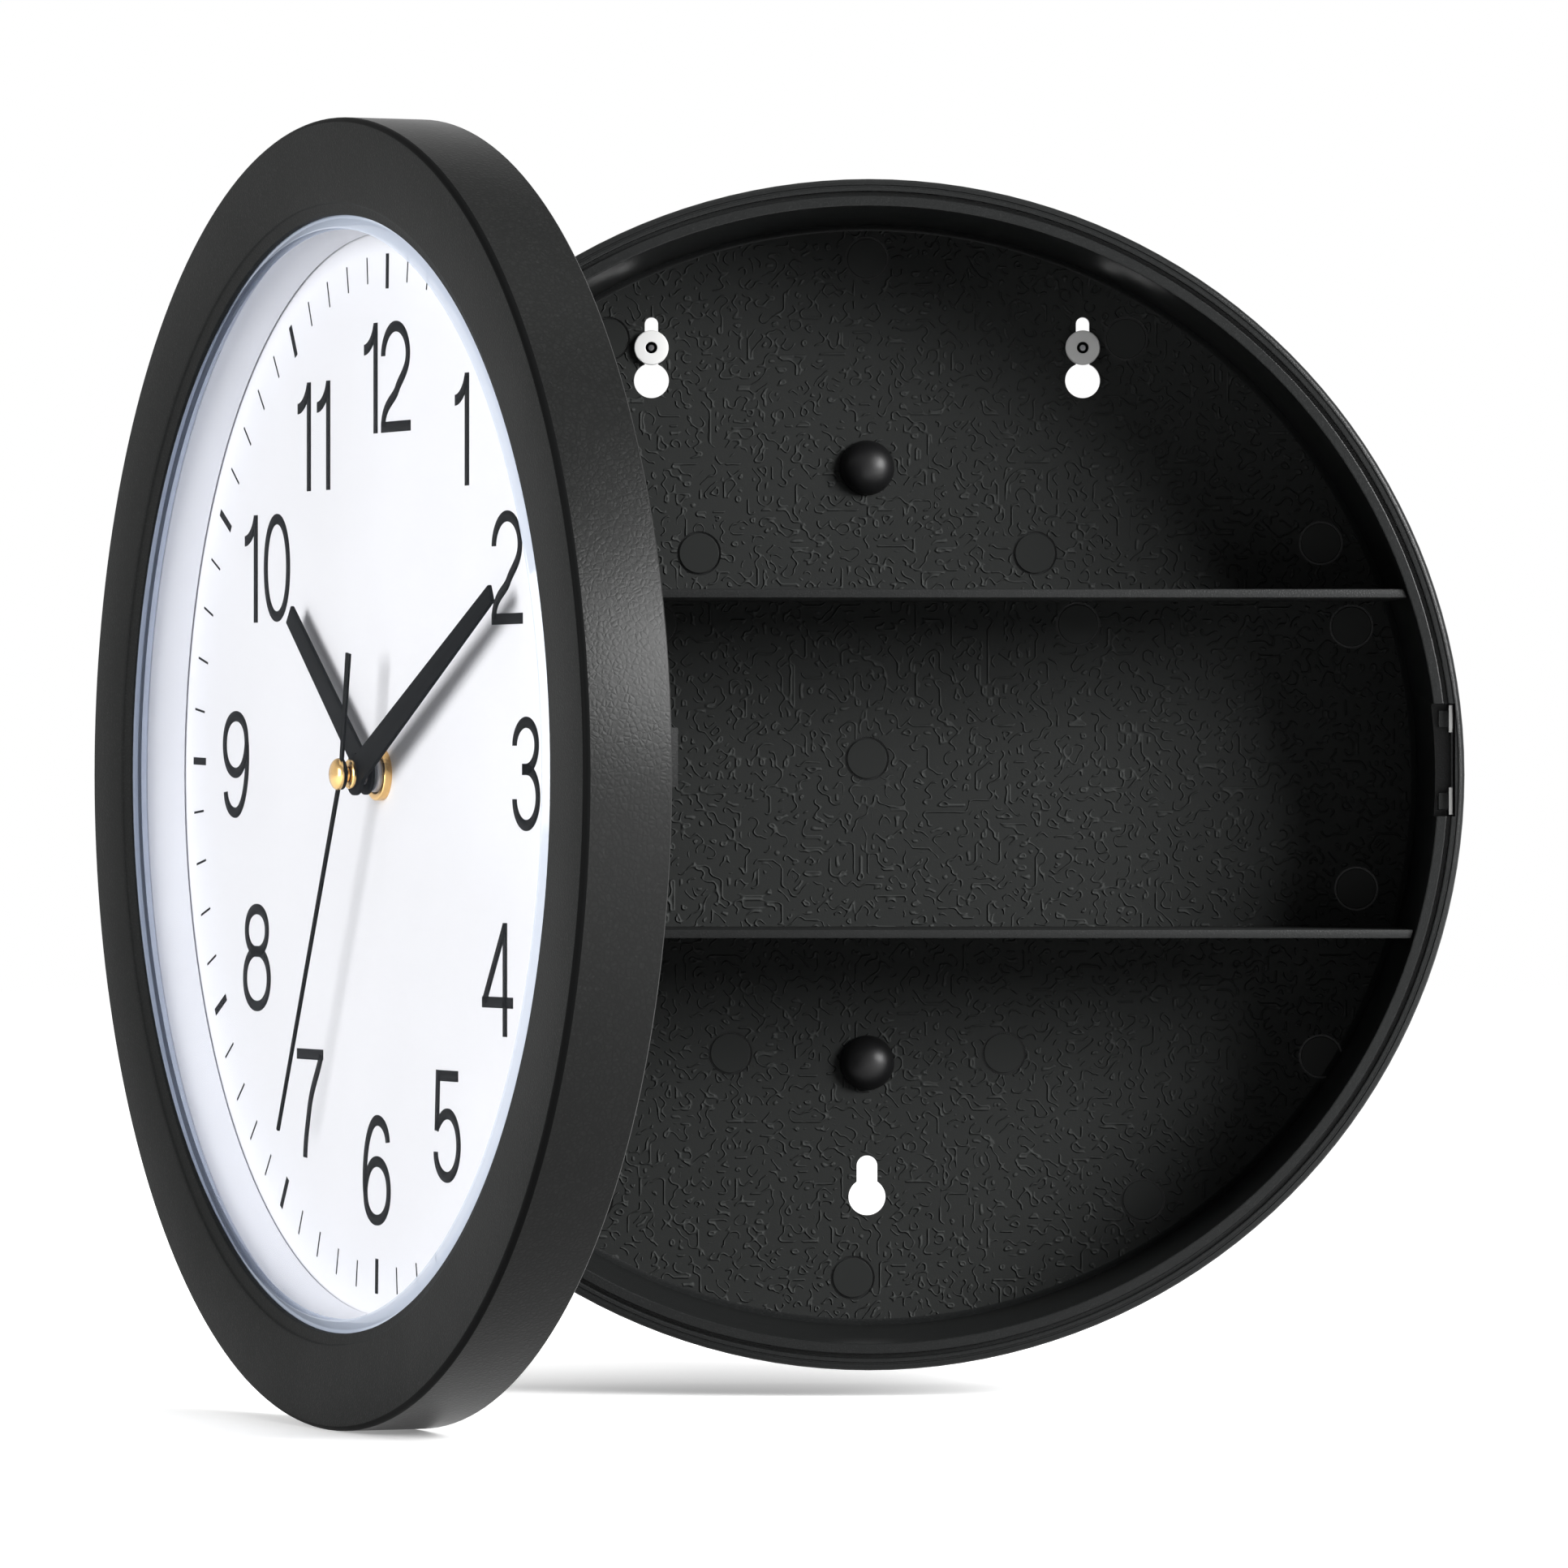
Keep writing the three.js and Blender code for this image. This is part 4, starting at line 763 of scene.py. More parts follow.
def make_bumpers():
    seat = PANEL_Z + 0.05
    crown = quarter_dome(BUMPER_R, seat + 0.5, BUMPER_H - 0.5)
    upper = ("bumper_top", BUMPER_UPPER_Y, "bumper_upper")
    lower = ("bumper_bottom", BUMPER_LOWER_Y, "bumper_lower")
    for name, y, node in (upper, lower):
        dome = turned(name, [(0, seat), (BUMPER_R - 0.3, seat), *crown, (0, seat + BUMPER_H)], 64)
        shade(moved(dome, (0, y, 0)))
        fit(dome, ON_CASE, "case", "bumper_rubber", RUBBER, node)


def quarter_dome(radius, low, rise, steps=10):
    """Points from the foot of a dome up to just short of its crown."""
    angles = [radians(90 * i / steps) for i in range(steps)]
    return [(radius * cos(a), low + rise * sin(a)) for a in angles]


def make_hangers():
    back = PANEL_Z + 0.05
    front = back + HANGER_T
    bore_r = 1.2
    seat = front - 1.4
    for side, x in (("left", -HANGER_X), ("right", HANGER_X)):
        body = turned(f"hanger_button_{side}", [
            (0, back), (HANGER_R - 0.2, back), (HANGER_R, back + 0.2),
            *arc(HANGER_R - 0.3, front - 0.3, 0.3, 0, 90, 3),
            (bore_r + 0.1, front), (bore_r, front - 0.1), (bore_r, seat), (0, seat)])
        shade(moved(body, (x, HANGER_Y, 0)))
        # The recess round the screw takes the near-black plastic, as painted shade in the hollow.
        give(body, 1, lambda c: c.z < front - 0.2 and hypot(c.x - x, c.y - HANGER_Y) < bore_r + 0.05)
        fit(body, ON_CASE, "case", "surround_white", (BUTTON_PLASTIC, SHADE_PAINTED_PLASTIC), f"hanger_{side}")
        head = turned(f"hanger_pin_{side}", [
            (0, seat + 0.02), (0.75, seat + 0.02), (0.75, seat + 0.5), (0.6, seat + 0.65),
            (0, seat + 0.7)], 32)
        shade(moved(head, (x, HANGER_Y, 0)))
        # The screw is dark steel, as painted shade at the bottom of the recess.
        fit(head, ON_CASE, "case", "steel", SHADE_PAINTED_STEEL, f"hanger_screw_{side}")


def make_hinge_pins():
    low = ARM_Y - ARM_H / 2 - HINGE_RUN - LUG_H
    high = ARM_Y + ARM_H / 2 + HINGE_RUN + LUG_H
    for side, bottom, top in (("upper", low, high), ("lower", -high, -low)):
        pin = turned(f"pin_{side}", [
            (0, bottom), (PIN_R - 0.3, bottom), (PIN_R, bottom + 0.3), (PIN_R, top + 0.3), (2.2, top + 0.3),
            (2.4, top + 0.5), (2.4, top + 1), (2.1, top + 1.3), (0, top + 1.3)])
        pin.data.transform(Matrix.Translation((HINGE_X, 0, HINGE_Z)) @ Matrix.Rotation(-pi / 2, 4, "X"))
        shade(pin)
        fit(pin, ON_CASE, "case", "steel", STEEL, f"hinge_pin_{side}")


def make_keeper():
    front = RING_Z
    back = front - POCKET_DEPTH + 0.3
    outer = CLIP_AT_R
    low = LATCH_Y - POCKET_H / 2 + 0.3
    high = LATCH_Y + POCKET_H / 2 - 0.3
    clip = block("keeper_clip", (outer - 0.5, outer), (low, high), (back, front))
    for bottom in (low, high - CLIP_END_H):
        jaw = block("jaw", (outer - 0.95, outer - 0.2), (bottom, bottom + CLIP_END_H), (back, front))
        foot_y = (bottom + 1.1, bottom + 4.5)
        foot = block("foot", (WALL_IN_R + 0.3, outer - 0.6), foot_y, (back, front - 1.6))
        join(clip, join(jaw, foot))
    soften(clip, 0.18)
    # The fronts of the clip's two ends take the pale grey, as a painted highlight.
    give(clip, 1, lambda c: c.z > front - 0.3 and not low + 6 < c.y < high - 6)
    fit(clip, ON_CASE, "case", "case_plastic", (SHELF_PLASTIC, HIGHLIGHT_PAINTED_PLASTIC), "latch_keeper")


# Door

def make_bezel():
    ring = turned("bezel", [
        (SIGHT_R, at(BEZEL_T)),
        (SIGHT_R, at(1.7)),
        (SIGHT_R + 0.15, at(1.3)),
        (SIGHT_R + 0.5, at(1.1)),
        (OPENING_R - 0.2, at(0.75)),
        (OPENING_R, at(0.6)),
        (OPENING_R + 0.15, at(0.25)),
        (OPENING_R + 0.6, at(0)),
        *arc(DOOR_R - EDGE_ROUND, at(EDGE_ROUND), EDGE_ROUND, 90, 0, 6),
        (DOOR_R, at(DOOR_DEPTH - 0.3)),
        (DOOR_R - 0.3, at(DOOR_DEPTH)),
        (DOOR_R - SKIRT_T, at(DOOR_DEPTH)),
        (DOOR_R - SKIRT_T, at(BEZEL_T)),
    ], 200)
    shade(ring)
    # The door's side takes the darker copy of the door plastic, as painted shade.
    give(ring, 1, lambda c: c.z < at(EDGE_ROUND) and hypot(c.x, c.y) > DOOR_R - 1)
    # The narrow rounding between front and side takes the near-black plastic, as a painted dark line of
    # shade.
    give(ring, 2, lambda c: c.z >= at(EDGE_ROUND) and hypot(c.x, c.y) > DOOR_R - 0.8)
    finishes = (BEZEL_PLASTIC, SHADED_SKIRT_PLASTIC, SHADE_PAINTED_PLASTIC)
    return fit(ring, ON_DOOR, "door", "door_plastic", finishes, "door_bezel")


def dome_points(offset, steps=12):
    """The window from its crown out to where it turns down into its flank."""
    dome_r = FLANK_R - FLANK_W - 0.6
    rise = LENS_RISE - FLANK_H
    sphere_r = (dome_r * dome_r + rise * rise) / (2 * rise)
    points = []
    for i in range(steps + 1):
        r = dome_r * i / steps
        drop = sphere_r - sqrt(sphere_r * sphere_r - r * r)
        points.append((r, at(LENS_AT + offset - LENS_RISE + drop)))
    return points


def make_lens():
    flank = at(LENS_AT - FLANK_H)
    lens = turned("lens_window", [
        *dome_points(0),
        (FLANK_R - FLANK_W, flank - 0.12),
        (FLANK_R - FLANK_W + 0.4, flank - 0.42),
        (FLANK_R - 0.2, at(LENS_AT) + 0.2),
        (FLANK_R + 0.1, at(LENS_AT)),
        (LENS_R, at(LENS_AT)),
        (LENS_R, at(LENS_AT + LENS_T)),
        (FLANK_R - 0.2, at(LENS_AT + LENS_T)),
        (FLANK_R - FLANK_W - 0.2, flank - LENS_T - 0.1),
        *reversed(dome_points(LENS_T)),
    ], 200)
    shade(lens, 50)
    # The edge beyond the flank takes the pale blue painted reflection.
    give(lens, 1, lambda c: hypot(c.x, c.y) > FLANK_R - FLANK_W)
    fit(lens, ON_DOOR, "door", "lens_clear", (LENS_CLEAR, LENS_EDGE_PAINTED_REFLECTION), "lens")


def make_surround():
    front = at(SURROUND_AT)
    back = at(SURROUND_BACK)
    ring = turned("dial_ring", [
        (FLANK_R + 5.4, front), (FLANK_R + 5.4, front - 1.4), (FLANK_R + 1.4, front - 1.4),
        (SURROUND_IN_R + 1.4, back), (SURROUND_IN_R + 0.2, back), (SURROUND_IN_R, back + 0.2),
        (FLANK_R, front),
    ], 200)
    tab_x = -(SURROUND_IN_R + 0.6)
    tab = block("tab", (tab_x - 2, tab_x + 0.5), (1.1, 7), (back + 0.3, back + 3))
    tab.data.transform(Matrix.Translation((tab_x, 0, back)) @ Matrix.Rotation(-radians(18), 4, "Y")
                       @ Matrix.Translation((-tab_x, 0, -back)))
    join(ring, soften(tab, 0.25, 2))
    shade(ring)
    fit(ring, ON_DOOR, "door", "surround_white", WHITE_PLASTIC, "dial_surround")


def make_dial():
    front, back = at(DIAL_AT), at(DIAL_AT + DIAL_T)
    disc = turned("dial_disc", [
        (3.9, back), (DIAL_R, back), (DIAL_R, front - 0.1), (DIAL_R - 0.1, front), (3.9, front)])
    shade(disc)
    fit(disc, ON_DOOR, "door", "dial_white", DIAL_FACE, "dial_plate")


# Print on the dial

INK_T = 0.06
MINUTE_TICK = (95.7, 100.9, 0.45)
HOUR_TICK = (94.2, 101, 1.5)
NUMERAL_H = 21.5
STROKE = 2.1
DIAL_TURN = 1.6

# Where the middle of each hour's figures is: distance from the centre, and degrees from twelve
NUMERAL_PLACES = {
    1: (77, 31.5), 2: (73.5, 58), 3: (71.5, 90), 4: (69.5, 124), 5: (75, 154), 6: (77, 182),
    7: (75, 210), 8: (75.5, 241), 9: (77.5, 271.5), 10: (74.5, 303.5), 11: (75.5, 332), 12: (77, 0.5),
}


def make_ticks():
    front = at(DIAL_AT)
    for name, size, count, skip in (("minute_ticks", MINUTE_TICK, 60, 5), ("hour_ticks", HOUR_TICK, 12, 0)):
        inner, outer, width = size
        tick = block(name, (-width / 2, width / 2), (inner, outer), (front - 0.03, front + INK_T))
        ticks = turned_flat(ring_of(tick, count, skip), DIAL_TURN)
        fit(ticks, ON_DOOR, "door", "hand_black", PRINT)


def ring_of(piece, count, skip=0):
    """Repeats a piece round the face, leaving out every so many."""
    copies = []
    for i in range(count):
        if skip and i % skip == 0:
            continue
        copy = piece.copy()
        copy.data = piece.data.copy()
        bpy.context.collection.objects.link(copy)
        copies.append(turned_flat(copy, 360 * i / count))
    name = piece.name
    bpy.data.objects.remove(piece)
    return group(name, copies)


def make_numerals():
    """Tall narrow figures, each drawn by even strokes as by a pen, standing upright round the dial."""
    for hour in range(1, 13):
        x, y = on_face(*NUMERAL_PLACES[hour])
        digits = [int(d) for d in str(hour)]
        gap = PAIR_GAP.get(hour, 0)
        for i, digit in enumerate(digits):
            shift = (i - (len(digits) - 1) / 2) * gap
            name = f"numeral_{hour}" + ("ab"[i] if gap else "")
            figure = draw_figure(name, digit)
            moved(figure, (x + shift, y - NUMERAL_H / 2, at(DIAL_AT)))
            fit(figure, ON_DOOR, "door", "hand_black", PRINT)


def draw_figure(name, digit):
    width, strokes = FIGURES[digit]
    pen = bpy.data.curves.new("pen", "CURVE")
    pen.dimensions = "2D"
    line = pen.splines.new("POLY")
    line.points.add(1)
    line.points[0].co = (-STROKE / 2, 0, 0, 1)
    line.points[1].co = (STROKE / 2, 0, 0, 1)
    nib = bpy.data.objects.new("nib", pen)
    bpy.context.collection.objects.link(nib)
    path = bpy.data.curves.new(name, "CURVE")
    path.dimensions = "2D"
    path.fill_mode = "NONE"
    path.resolution_u = 14
    path.bevel_mode = "OBJECT"
    path.bevel_object = nib
    for closed, knots in strokes:
        spline = path.splines.new("BEZIER")
        spline.bezier_points.add(len(knots) - 1)
        spline.use_cyclic_u = closed
        for point, (x, y, heading, before, after) in zip(spline.bezier_points, knots):
            way = Vector((cos(radians(heading)), sin(radians(heading)), 0))
            point.co = (x - width / 2, y, 0)
            point.handle_left_type = point.handle_right_type = "FREE"
            point.handle_left = point.co - way * before
            point.handle_right = point.co + way * after
    figure = bpy.data.objects.new(name, path)
    bpy.context.collection.objects.link(figure)
    pick(figure)
    bpy.ops.object.convert(target="MESH")
    bpy.data.objects.remove(nib)
    figure = started(name)
    edit(figure)
    bpy.ops.mesh.remove_doubles(threshold=0.01)
    bpy.ops.mesh.normals_make_consistent(inside=False)
    leave()
    applied(figure, "SOLIDIFY", thickness=INK_T + 0.03, offset=0)
    moved(figure, (0, 0, INK_T / 2))
    return figure


# Each figure is its width and its strokes. A stroke says whether it closes and gives its knots:
# x, y, heading in degrees, and how far the curve holds that heading before and after the knot.
HALF = STROKE / 2
TOP = NUMERAL_H - HALF
ROUND = 0.56
FLANK = 0.62


def oval(x, y, a, b):
    """Knots of a narrow closed oval about (x, y)."""
    return [(x + a, y, 90, FLANK * b, FLANK * b), (x, y + b, 180, ROUND * a, ROUND * a),
            (x - a, y, 270, FLANK * b, FLANK * b), (x, y - b, 0, ROUND * a, ROUND * a)]


def zero():
    width = 14.1
    return width, [(True, oval(width / 2, NUMERAL_H / 2, width / 2 - HALF, TOP - NUMERAL_H / 2))]


def one():
    width = 7
    stem = width - HALF
    return width, [
        (False, [(stem, 0, 90, 0, 5), (stem, NUMERAL_H, 90, 5, 0)]),
        (False, [(stem - 0.2, NUMERAL_H - 0.6, 265, 0, 1.8), (0, NUMERAL_H - 5.1, 180, 2.9, 0)]),
    ]


def two():
    width = 15
    left, right, middle = HALF, width - HALF, width / 2
    return width, [
        (False, [(left, TOP - 5.6, 90, 0, 2.6), (middle - 0.2, TOP, 0, 3.6, 3.6),
                 (right - 0.3, TOP - 5.4, 270, 3, 3.4), (middle + 0.6, 8.2, 232, 2.6, 2.6),
                 (left, HALF, 268, 4.6, 0)]),
        (False, [(0, HALF, 0, 0, 3), (width, HALF, 0, 3, 0)]),
    ]


def three():
    width = 13.3
    left, right, middle = HALF, width - HALF, width / 2
    waist = NUMERAL_H * 0.54
    return width, [
        (False, [(left, TOP - 4.4, 90, 0, 2.2), (middle - 0.1, TOP, 0, 3, 3),
                 (right - 0.6, TOP - 4.3, 270, 2.4, 2.4), (middle - 0.2, waist, 180, 3, 1),
                 (middle - 2, waist, 180, 0.5, 0)]),
        (False, [(middle - 1.9, waist - 0.03, 0, 0, 0.5), (middle, waist - 0.03, 0, 1, 3.2),
                 (right, 6.4, 270, 3, 3), (middle, HALF, 180, 3.2, 3.2), (left, 6, 90, 2.6, 0)]),
    ]


def four():
    width = 15
    stem, bar_y = width - 3.9, NUMERAL_H * 0.25 + HALF
    return width, [
        (False, [(stem, 0, 90, 0, 5), (stem, NUMERAL_H, 90, 5, 0)]),
        (False, [(0, bar_y, 0, 0, 3), (width, bar_y, 0, 3, 0)]),
        (False, [(0.9, bar_y - 0.2, 56, 0, 5), (stem - 0.1, TOP + 0.4, 56, 5, 0)]),
    ]


def five():
    width = 13.4
    left, right, middle = HALF, width - HALF, width / 2
    return width, [
        (False, [(left + 1.1, TOP, 0, 0, 3), (right - 0.2, TOP, 0, 3, 0)]),
        (False, [(left + 1.2, NUMERAL_H, 267, 0, 3), (left + 0.5, 9.8, 267, 3, 0)]),
        (False, [(left + 0.3, 10.4, 40, 0, 2.4), (middle + 0.3, 13.2, 0, 2.6, 3), (right, 7.2, 270, 3.4, 3.4),
                 (middle - 0.1, HALF, 180, 3.2, 3.2), (left, 5.8, 90, 2.6, 0)]),
    ]


def six():
    width = 14.3
    left, right, middle = HALF, width - HALF, width / 2
    bowl = 5.7
    waist = HALF + bowl
    across, along = ROUND * (middle - HALF), FLANK * bowl
    return width, [
        (False, [(right - 0.5, TOP - 4.2, 95, 0, 2.2), (middle + 0.3, TOP, 180, 3.1, 3.6),
                 (left, waist + 2.6, 270, 6, 3.4), (left + 0.4, waist - 1.4, 276, 2, 2.2),
                 (middle, HALF, 0, across, across), (right, waist, 90, along, along),
                 (middle + 0.1, HALF + 2 * bowl, 180, across, across),
                 (left + 0.2, waist - 0.6, 266, along, 0)]),
    ]


def seven():
    width = 13.9
    return width, [
        (False, [(0, TOP, 0, 0, 3), (width, TOP, 0, 3, 0)]),
        (False, [(width - HALF, TOP, 250, 0, 3.4), (6.6, 9.6, 254, 5, 4), (4.4, 0, 266, 4, 0)]),
    ]


def eight():
    width = 15
    middle = width / 2
    low, high = 5.5, 4.27
    return width, [
        (True, oval(middle, HALF + low, middle - HALF, low)),
        (True, oval(middle, TOP - high, middle - HALF - 1, high)),
    ]


def nine():
    """A six turned over, a little wider."""
    width = 15.3
    strokes = []
    for closed, knots in six()[1]:
        turned_over = [(width - (x + 0.5), NUMERAL_H - y, heading + 180, before, after)
                       for x, y, heading, before, after in knots]
        strokes.append((closed, turned_over))
    return width, strokes


# The figures by digit, and the step between the two figures of an hour
FIGURES = [zero(), one(), two(), three(), four(), five(), six(), seven(), eight(), nine()]
PAIR_GAP = {10: 13.9, 11: 10.2, 12: 12.8}


# Hands, measured from the front of the dial

HAND_T = 0.8
CAP_R = 3.1
HOUR_HAND_Z = 3
MINUTE_HAND_Z = 5.2
SECOND_HAND_Z = 8.4


def above(height):
    return at(DIAL_AT) + height


def tapered(name, root_w, tip_w, length, low, high):
    """A straight hand blade that narrows to a square end."""
    blade = block(name, (-root_w / 2, root_w / 2), (0, length), (low, high))
    edit(blade, "VERT", "DESELECT")
    choose(blade, verts=lambda v: v.co.y > length / 2)
    bpy.ops.transform.resize(value=(tip_w / root_w, 1, 1), center_override=(0, length, 0))
    leave()
    return blade


def make_hand(name, angle, body, low, length, root_w, tip_w, boss_r, node):
    high = low + HAND_T
    boss = bar("boss", boss_r, low, high, steps=64)
    hand = join(tapered(name, root_w, tip_w, length, low, high), boss)
    soften(hand, 0.16, 2)
    fit(turned_flat(hand, angle), ON_DOOR, body, "hand_black", HAND_PAINT, node)


def make_second_hand():
    low = above(SECOND_HAND_Z)
    high = low + 0.5
    pointer = tapered("seconds_pointer", 1.2, 0.8, 77.3, low, high)
    tail = tapered("tail", 1.2, 2, 23.7, low + 0.02, high - 0.02)
    tail.data.transform(Matrix.Rotation(radians(180 + 15.7), 4, "Z"))
    disc = bar("disc", CAP_R - 0.1, low - 0.03, high + 0.01, steps=64)
    hub = bar("hub", 1.6, low - 1, low + 0.2, steps=48)
    hand = join(pointer, tail, disc, hub)
    soften(hand, 0.1, 2)
    give(hand, 1, lambda c: c.z < low - 0.04)
    finishes = (HAND_PAINT, BRASS)
    fit(turned_flat(hand, SECOND_ANGLE), ON_DOOR, "second_hand", "hand_black", finishes, "second_hand")
    crown = quarter_dome(CAP_R, high + 0.3, 1.55)
    cap = turned("brass_cap", [
        (0, high + 0.02), (CAP_R - 0.4, high + 0.02), (CAP_R - 0.05, high + 0.15), *crown,
        (0, high + 1.85)], 64)
    fit(shade(cap, 60), ON_DOOR, "second_hand", "brass", BRASS, "second_cap")


def make_centre():
    dial = at(DIAL_AT)
    ring = turned("brass_ring", [
        (3.8, dial + 0.02), (5.1, dial + 0.02), (5.1, dial + 1), *arc(4.8, dial + 1.3, 0.3, 0, 90, 3),
        *arc(4.05, dial + 1.35, 0.25, 90, 180, 3)], 96)
    fit(shade(ring), ON_DOOR, "door", "brass", BRASS, "bush_nut")
    bush = turned("white_bush", [
        (2.4, at(15.2)), (3.5, at(15.2)), (3.5, dial + 1.9), (3.2, dial + 2.2), (2.5, dial + 2.2),
        (2.4, dial + 2.1)], 96)
    fit(shade(bush), ON_DOOR, "door", "surround_white", WHITE_PLASTIC, "centre_bush")
    low = above(6.3)
    nut = turned("brass_nut", [
        (1.5, low), (2.65, low), (2.85, low + 0.2), (2.85, low + 0.7), (2.65, low + 0.9), (1.6, low + 0.9),
        (1.5, low + 0.8)], 64)
    fit(shade(nut), ON_DOOR, "minute_hand", "brass", BRASS, "hand_nut")


# Back of the door

def cover_screw_places():
    return [on_face(SCREW_CIRCLE_R, 360 * i / SCREW_COUNT) for i in range(SCREW_COUNT)]


def make_back_cover():
    front, rear = at(COVER_AT), at(DOOR_DEPTH)
    rib_out = SURROUND_IN_R
    plate = turned("door_back", [
        (0, rear), *arc(COVER_R - 0.4, rear + 0.4, 0.4, -90, 0, 2), (COVER_R, front), (rib_out, front),
        (rib_out, at(13.8)), (rib_out - 2, at(13.8)), (rib_out - 2, front), (0, front)], 200)
    cut(plate, turned("groove", [
        (110, rear + 0.5), (111.2, rear + 0.5), (111.6, rear - 1), (109.6, rear - 1)], 200))
    for side in (-1, 1):
        y0, y1 = side * ARM_Y - ARM_H / 2, side * ARM_Y + ARM_H / 2
        eye = upright_bar("eye", EYE_R, HINGE_X, HINGE_Z, y0, y1)
        web = block("web", (HINGE_X - 2.2, HINGE_X + 2.2), (y0, y1), (HINGE_Z, rear + 1))
        arm = soften(join(eye, web), 0.3)
        join(plate, arm)
    low, high = LATCH_Y - TONGUE_H / 2, LATCH_Y + TONGUE_H / 2
    tongue = block("tongue", (TONGUE_R, TONGUE_R + TONGUE_T), (low, high), (-4.6, rear + 1))
    join(plate, soften(tongue, 0.2))
    for x, y in cover_screw_places():
        cut(plate, bar("seat", 3.1, rear - 1, rear + 2.2, x, y, 32))
    window = (-MOVE_HALF - 0.3, MOVE_HALF + 0.3)
    cut(plate, block("window", window, window, (rear - 1, front + 3)))
    cut(plate, upright_bar("bore", PIN_R + 0.3, HINGE_X, HINGE_Z, -2 * ARM_Y, 2 * ARM_Y))
    shade(plate)
    fit(plate, ON_DOOR, "door", "door_plastic", COVER_PLASTIC, "door_back_cover")


def make_cover_screws():
    head = at(DOOR_DEPTH) + 0.3
    for i, (x, y) in enumerate(cover_screw_places()):
        screw = turned("screw", [
            (0, head + 1.6), (1.4, head + 1.6), (2.7, head + 1.6), (2.8, head + 1.4), (2.6, head + 0.4),
            (1.8, head), (0, head)], 48)
        for turn in (20 * i, 20 * i + 90):
            slot = block("slot", (-1.7, 1.7), (-0.3, 0.3), (head - 1, head + 0.8))
            slot.data.transform(Matrix.Rotation(radians(turn), 4, "Z"))
            cut(screw, slot)
        screw.name = f"back_screw_{i + 1}"
        shade(moved(screw, (x, y, 0)))
        fit(screw, ON_DOOR, "door", "steel", STEEL, f"cover_screw_{i + 1}")


# Movement

def movement_sides(inset=0):
    return -MOVE_HALF + inset, MOVE_HALF - inset


def make_movement():
    front, rear = at(MOVE_AT), at(MOVE_AT + MOVE_DEPTH)
    sides, inside = movement_sides(), movement_sides(MOVE_WALL)
    room_z = (rear, front - MOVE_WALL)
    lid_y = BATTERY_Y + BATTERY_R + 0.3
    tray = block("movement_tray", sides, sides, (rear + 1.9, front))
    cut(tray,
        block("room", inside, (lid_y + MOVE_WALL, inside[1]), room_z),
        block("bay", inside, (inside[0], lid_y), room_z),
        bar("hole", 3.8, front - 4, front + 2, steps=48))
    soften(tray, 0.35, 2, 60)
    fit(tray, ON_DOOR, "door", "movement_plastic", MOVEMENT_PLASTIC, "movement_case")
    lid = block("movement_lid", sides, (lid_y + 0.3, MOVE_HALF), (rear, rear + 1.6))
    panel = block("panel", movement_sides(4), (lid_y + 4, MOVE_HALF - 4), (rear - 1, rear + 0.4))
    cut(lid, soften(panel, 1.2, 4))
    knob_x, knob_y = knob_place()
    cut(lid, bar("hole", 1.3, rear - 1, rear + 3, knob_x, knob_y, 32))
    soften(lid, 0.25, 2, 60)
    keep_flats(lid)
    fit(lid, ON_DOOR, "door", "movement_plastic", MOVEMENT_PLASTIC, "movement_cover")


def knob_place():
    """The knob is one wheel step from the motion wheel, which is one step left of the hands."""
    way = radians(KNOB_WAY)
    return WHEEL_STEP * cos(way) - WHEEL_STEP, WHEEL_STEP * sin(way)


def make_knob():
    high = at(MOVE_AT + MOVE_DEPTH) - 0.3
    low = high - 2.8
    knob = turned("setting_wheel", [
        (0, low), (5.6, low), *arc(6, low + 0.5, 0.5, -90, 0, 3), (6.5, high - 0.3), (6.2, high),
        (0, high)], 96)
    cut(knob, ring_of(bar("notches", 0.35, low - 1, high + 1, 6.7, 0, 12), 36))
    join(knob, bar("stem", 1, high - 0.5, at(MOVE_AT + 4), steps=24))
    x, y = knob_place()
    shade(moved(knob, (x, y, 0)))
    fit(knob, ON_DOOR, "setting_knob", "movement_plastic", MOVEMENT_PLASTIC, "setting_knob")


def make_battery():
    half = (BATTERY_L + BATTERY_NUB) / 2
    cap = half - BATTERY_NUB
    cell = turned("cell", [
        (0, -half), (4, -half), (4.3, -half + 0.2), (6.6, -half + 0.2), (BATTERY_R - 0.1, -half + 0.7),
        (BATTERY_R, -half + 1), (BATTERY_R, half - 2), (BATTERY_R - 0.3, half - 1.6), (6.2, cap), (2.9, cap),
        (2.7, cap + 0.2), (2.7, half - 0.2), (2.5, half), (0, half)], 96)
    cell.data.transform(Matrix.Rotation(pi / 2, 4, "Y"))
    moved(cell, (0, BATTERY_Y, at(MOVE_AT + 1.7 + BATTERY_R)))
    shade(cell)
    fit(cell, ON_DOOR, "battery", "cell_sleeve", SLEEVE, "battery")


def dress_cad_nodes():
    """Gives the pieces inside the movement, which keep their own shape, a finish."""
    finishes = {
        NATURAL_PLASTIC: ("bearing_plate", "step_wheel", "third_wheel", "motion_wheel"),
        STEEL: ("contact_positive", "contact_negative", "stator_plate", "crystal"),
        BRASS: ("second_wheel", "centre_wheel"),
        COPPER: ("drive_coil",),
        BOARD: ("circuit_board",),
        MOVEMENT_PLASTIC: ("rotor",),
        WHITE_PLASTIC: ("hour_wheel",),
    }
    for material, names in finishes.items():
        for name in names:
            mesh = frame["nodes"][name].data
            mesh.materials.clear()
            mesh.materials.append(material)


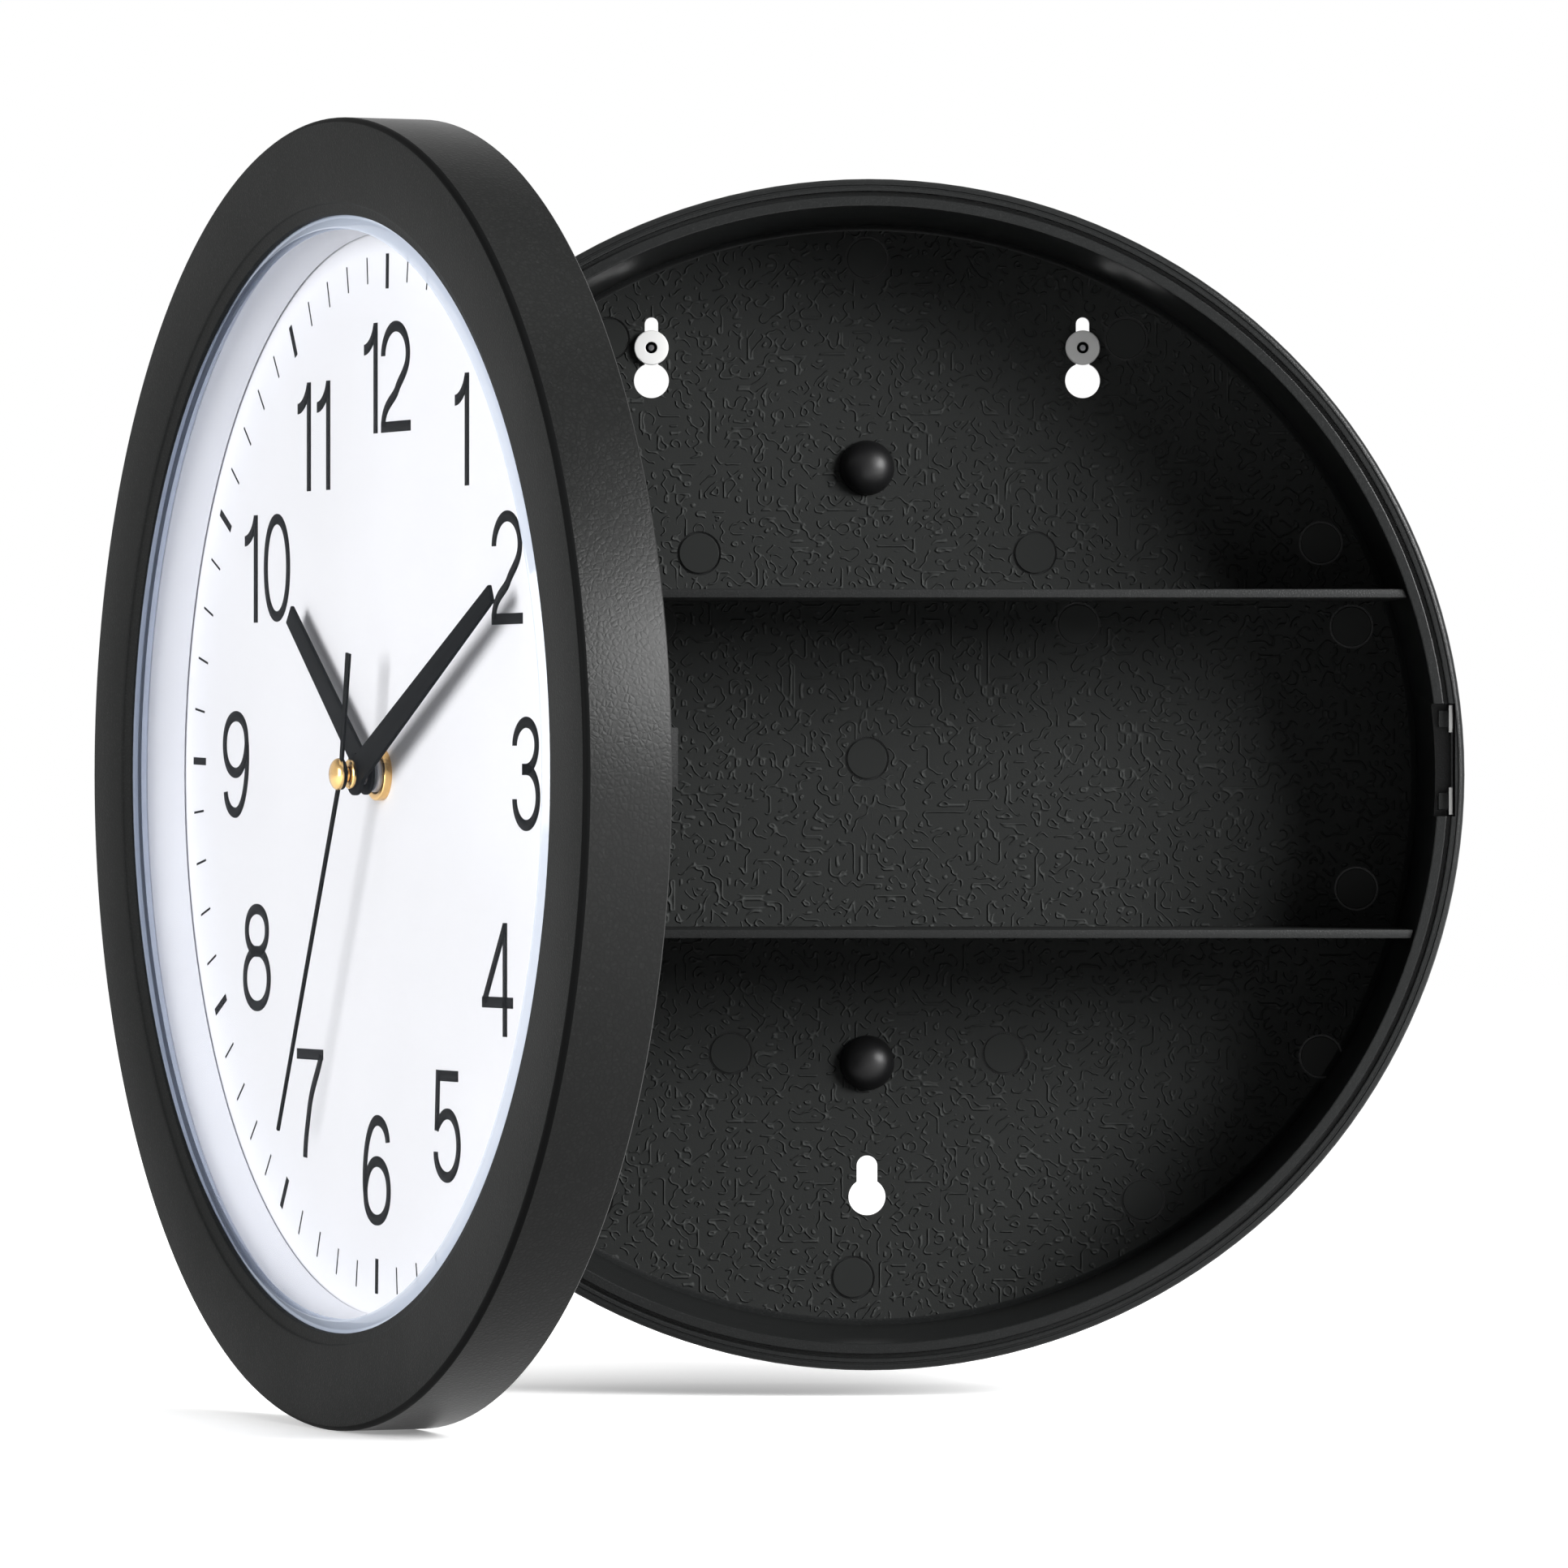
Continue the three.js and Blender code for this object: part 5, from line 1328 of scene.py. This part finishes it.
make_case()
make_shelves()
make_ejector_marks()
make_bumpers()
make_hangers()
make_hinge_pins()
make_keeper()
make_bezel()
make_lens()
make_surround()
make_dial()
make_ticks()
make_numerals()
make_hand("hours_hand", HOUR_ANGLE, "hour_hand", above(HOUR_HAND_Z), 50.8, 5.5, 4.2, 4, "hour_hand")
make_hand("minutes_hand", MINUTE_ANGLE, "minute_hand", above(MINUTE_HAND_Z), 75.8, 6, 3.5, 4.1, "minute_hand")
make_second_hand()
make_centre()
make_back_cover()
make_cover_screws()
make_movement()
make_knob()
make_battery()
dress_cad_nodes()


# Stage, in metres

CAMERA_AT = Vector((-0.0173, -2.125, -0.0019))
LENS_MM = 233.76
SENSOR_MM = 36
FLOOR_SIZE = 8
SHADOW_MIDDLE = (-0.045, -0.16, 0)
SHADOW_REACH = (0.17, 0.35, 1)


def make_floor():
    """A white floor that keeps the object's shadow near its feet and is plain white further out."""
    deselect()
    bpy.ops.mesh.primitive_plane_add(size=FLOOR_SIZE, location=(0, 0, -DOOR_R * MM))
    floor = started("floor")
    finish = Finish("white floor", (0.3, 0.3, 0.3), 0.9, specular=0.02)
    tree = finish.tree
    seen = seen_directly(tree, add(tree, "ShaderNodeLightPath").outputs)
    finish.tint(seen, (0.85, 0.85, 0.85))
    place = add(tree, "ShaderNodeMapping", vector_type="TEXTURE")
    place.inputs["Location"].default_value = SHADOW_MIDDLE
    place.inputs["Scale"].default_value = SHADOW_REACH
    link(tree, add(tree, "ShaderNodeTexCoord").outputs["Object"], place.inputs["Vector"])
    reach = add(tree, "ShaderNodeVectorMath", operation="LENGTH")
    link(tree, place.outputs["Vector"], reach.inputs[0])
    glow = spread(tree, reach.outputs["Value"], 0.2, 0.95, 0.15, 1.0)
    finish.shader.inputs["Emission Color"].default_value = (1, 1, 1, 1)
    link(tree, math(tree, "MULTIPLY", seen, glow), finish.shader.inputs["Emission Strength"])
    floor.data.materials.append(finish.material)


def seen_directly(tree, path):
    """High for what is seen straight, in a reflection or through something clear."""
    through = math(tree, "MAXIMUM", path["Is Glossy Ray"], path["Is Transmission Ray"])
    return math(tree, "MAXIMUM", path["Is Camera Ray"], through)


def make_world():
    """Plain white all round at eye level, under a darker ceiling."""
    world = bpy.data.worlds.new("room light")
    bpy.context.scene.world = world
    world.use_nodes = True
    tree = world.node_tree
    back = tree.nodes["Background"]
    seen = seen_directly(tree, add(tree, "ShaderNodeLightPath").outputs)
    link(tree, spread(tree, seen, 0.0, 1.0, 0.24, 1.0), back.inputs["Strength"])
    height = add(tree, "ShaderNodeSeparateXYZ")
    link(tree, add(tree, "ShaderNodeTexCoord").outputs["Generated"], height.inputs[0])
    ceiling = add(tree, "ShaderNodeMix", data_type="RGBA")
    link(tree, spread(tree, height.outputs["Z"], 0.3, 0.8, 0.0, 1.0), ceiling.inputs[0])
    ceiling.inputs[6].default_value = (1, 1, 1, 1)
    ceiling.inputs[7].default_value = (0.3, 0.3, 0.3, 1)
    link(tree, ceiling.outputs[2], back.inputs["Color"])


def softbox(name, toward, distance, width, height, power):
    """A soft lamp that way from the object, facing it."""
    data = bpy.data.lights.new(name, "AREA")
    data.shape = "RECTANGLE"
    data.size, data.size_y = width, height
    data.energy = power
    lamp = bpy.data.objects.new(name, data)
    way = Vector(toward).normalized()
    lamp.location = way * distance
    lamp.rotation_euler = way.to_track_quat("Z", "Y").to_euler()
    bpy.context.scene.collection.objects.link(lamp)


def make_camera():
    data = bpy.data.cameras.new("camera")
    data.sensor_width = SENSOR_MM
    data.lens = LENS_MM
    camera = bpy.data.objects.new("camera", data)
    camera.location = CAMERA_AT
    camera.rotation_euler = (pi / 2, 0, 0)
    bpy.context.scene.collection.objects.link(camera)
    bpy.context.scene.camera = camera


make_camera()
make_floor()
make_world()
softbox("side light", (0.68, -0.67, 0.275), 1.3, 0.5, 0.5, 30)
softbox("edge light", (0.718, -0.484, 0.5), 1.3, 0.3, 0.55, 10)
softbox("dial light", (-0.74, -0.66, 0.12), 1.3, 0.7, 0.7, 14)
softbox("top light", (-0.1, -0.2, 1.0), 1.2, 1.1, 1.1, 4)
bpy.context.scene.view_settings.view_transform = "Standard"
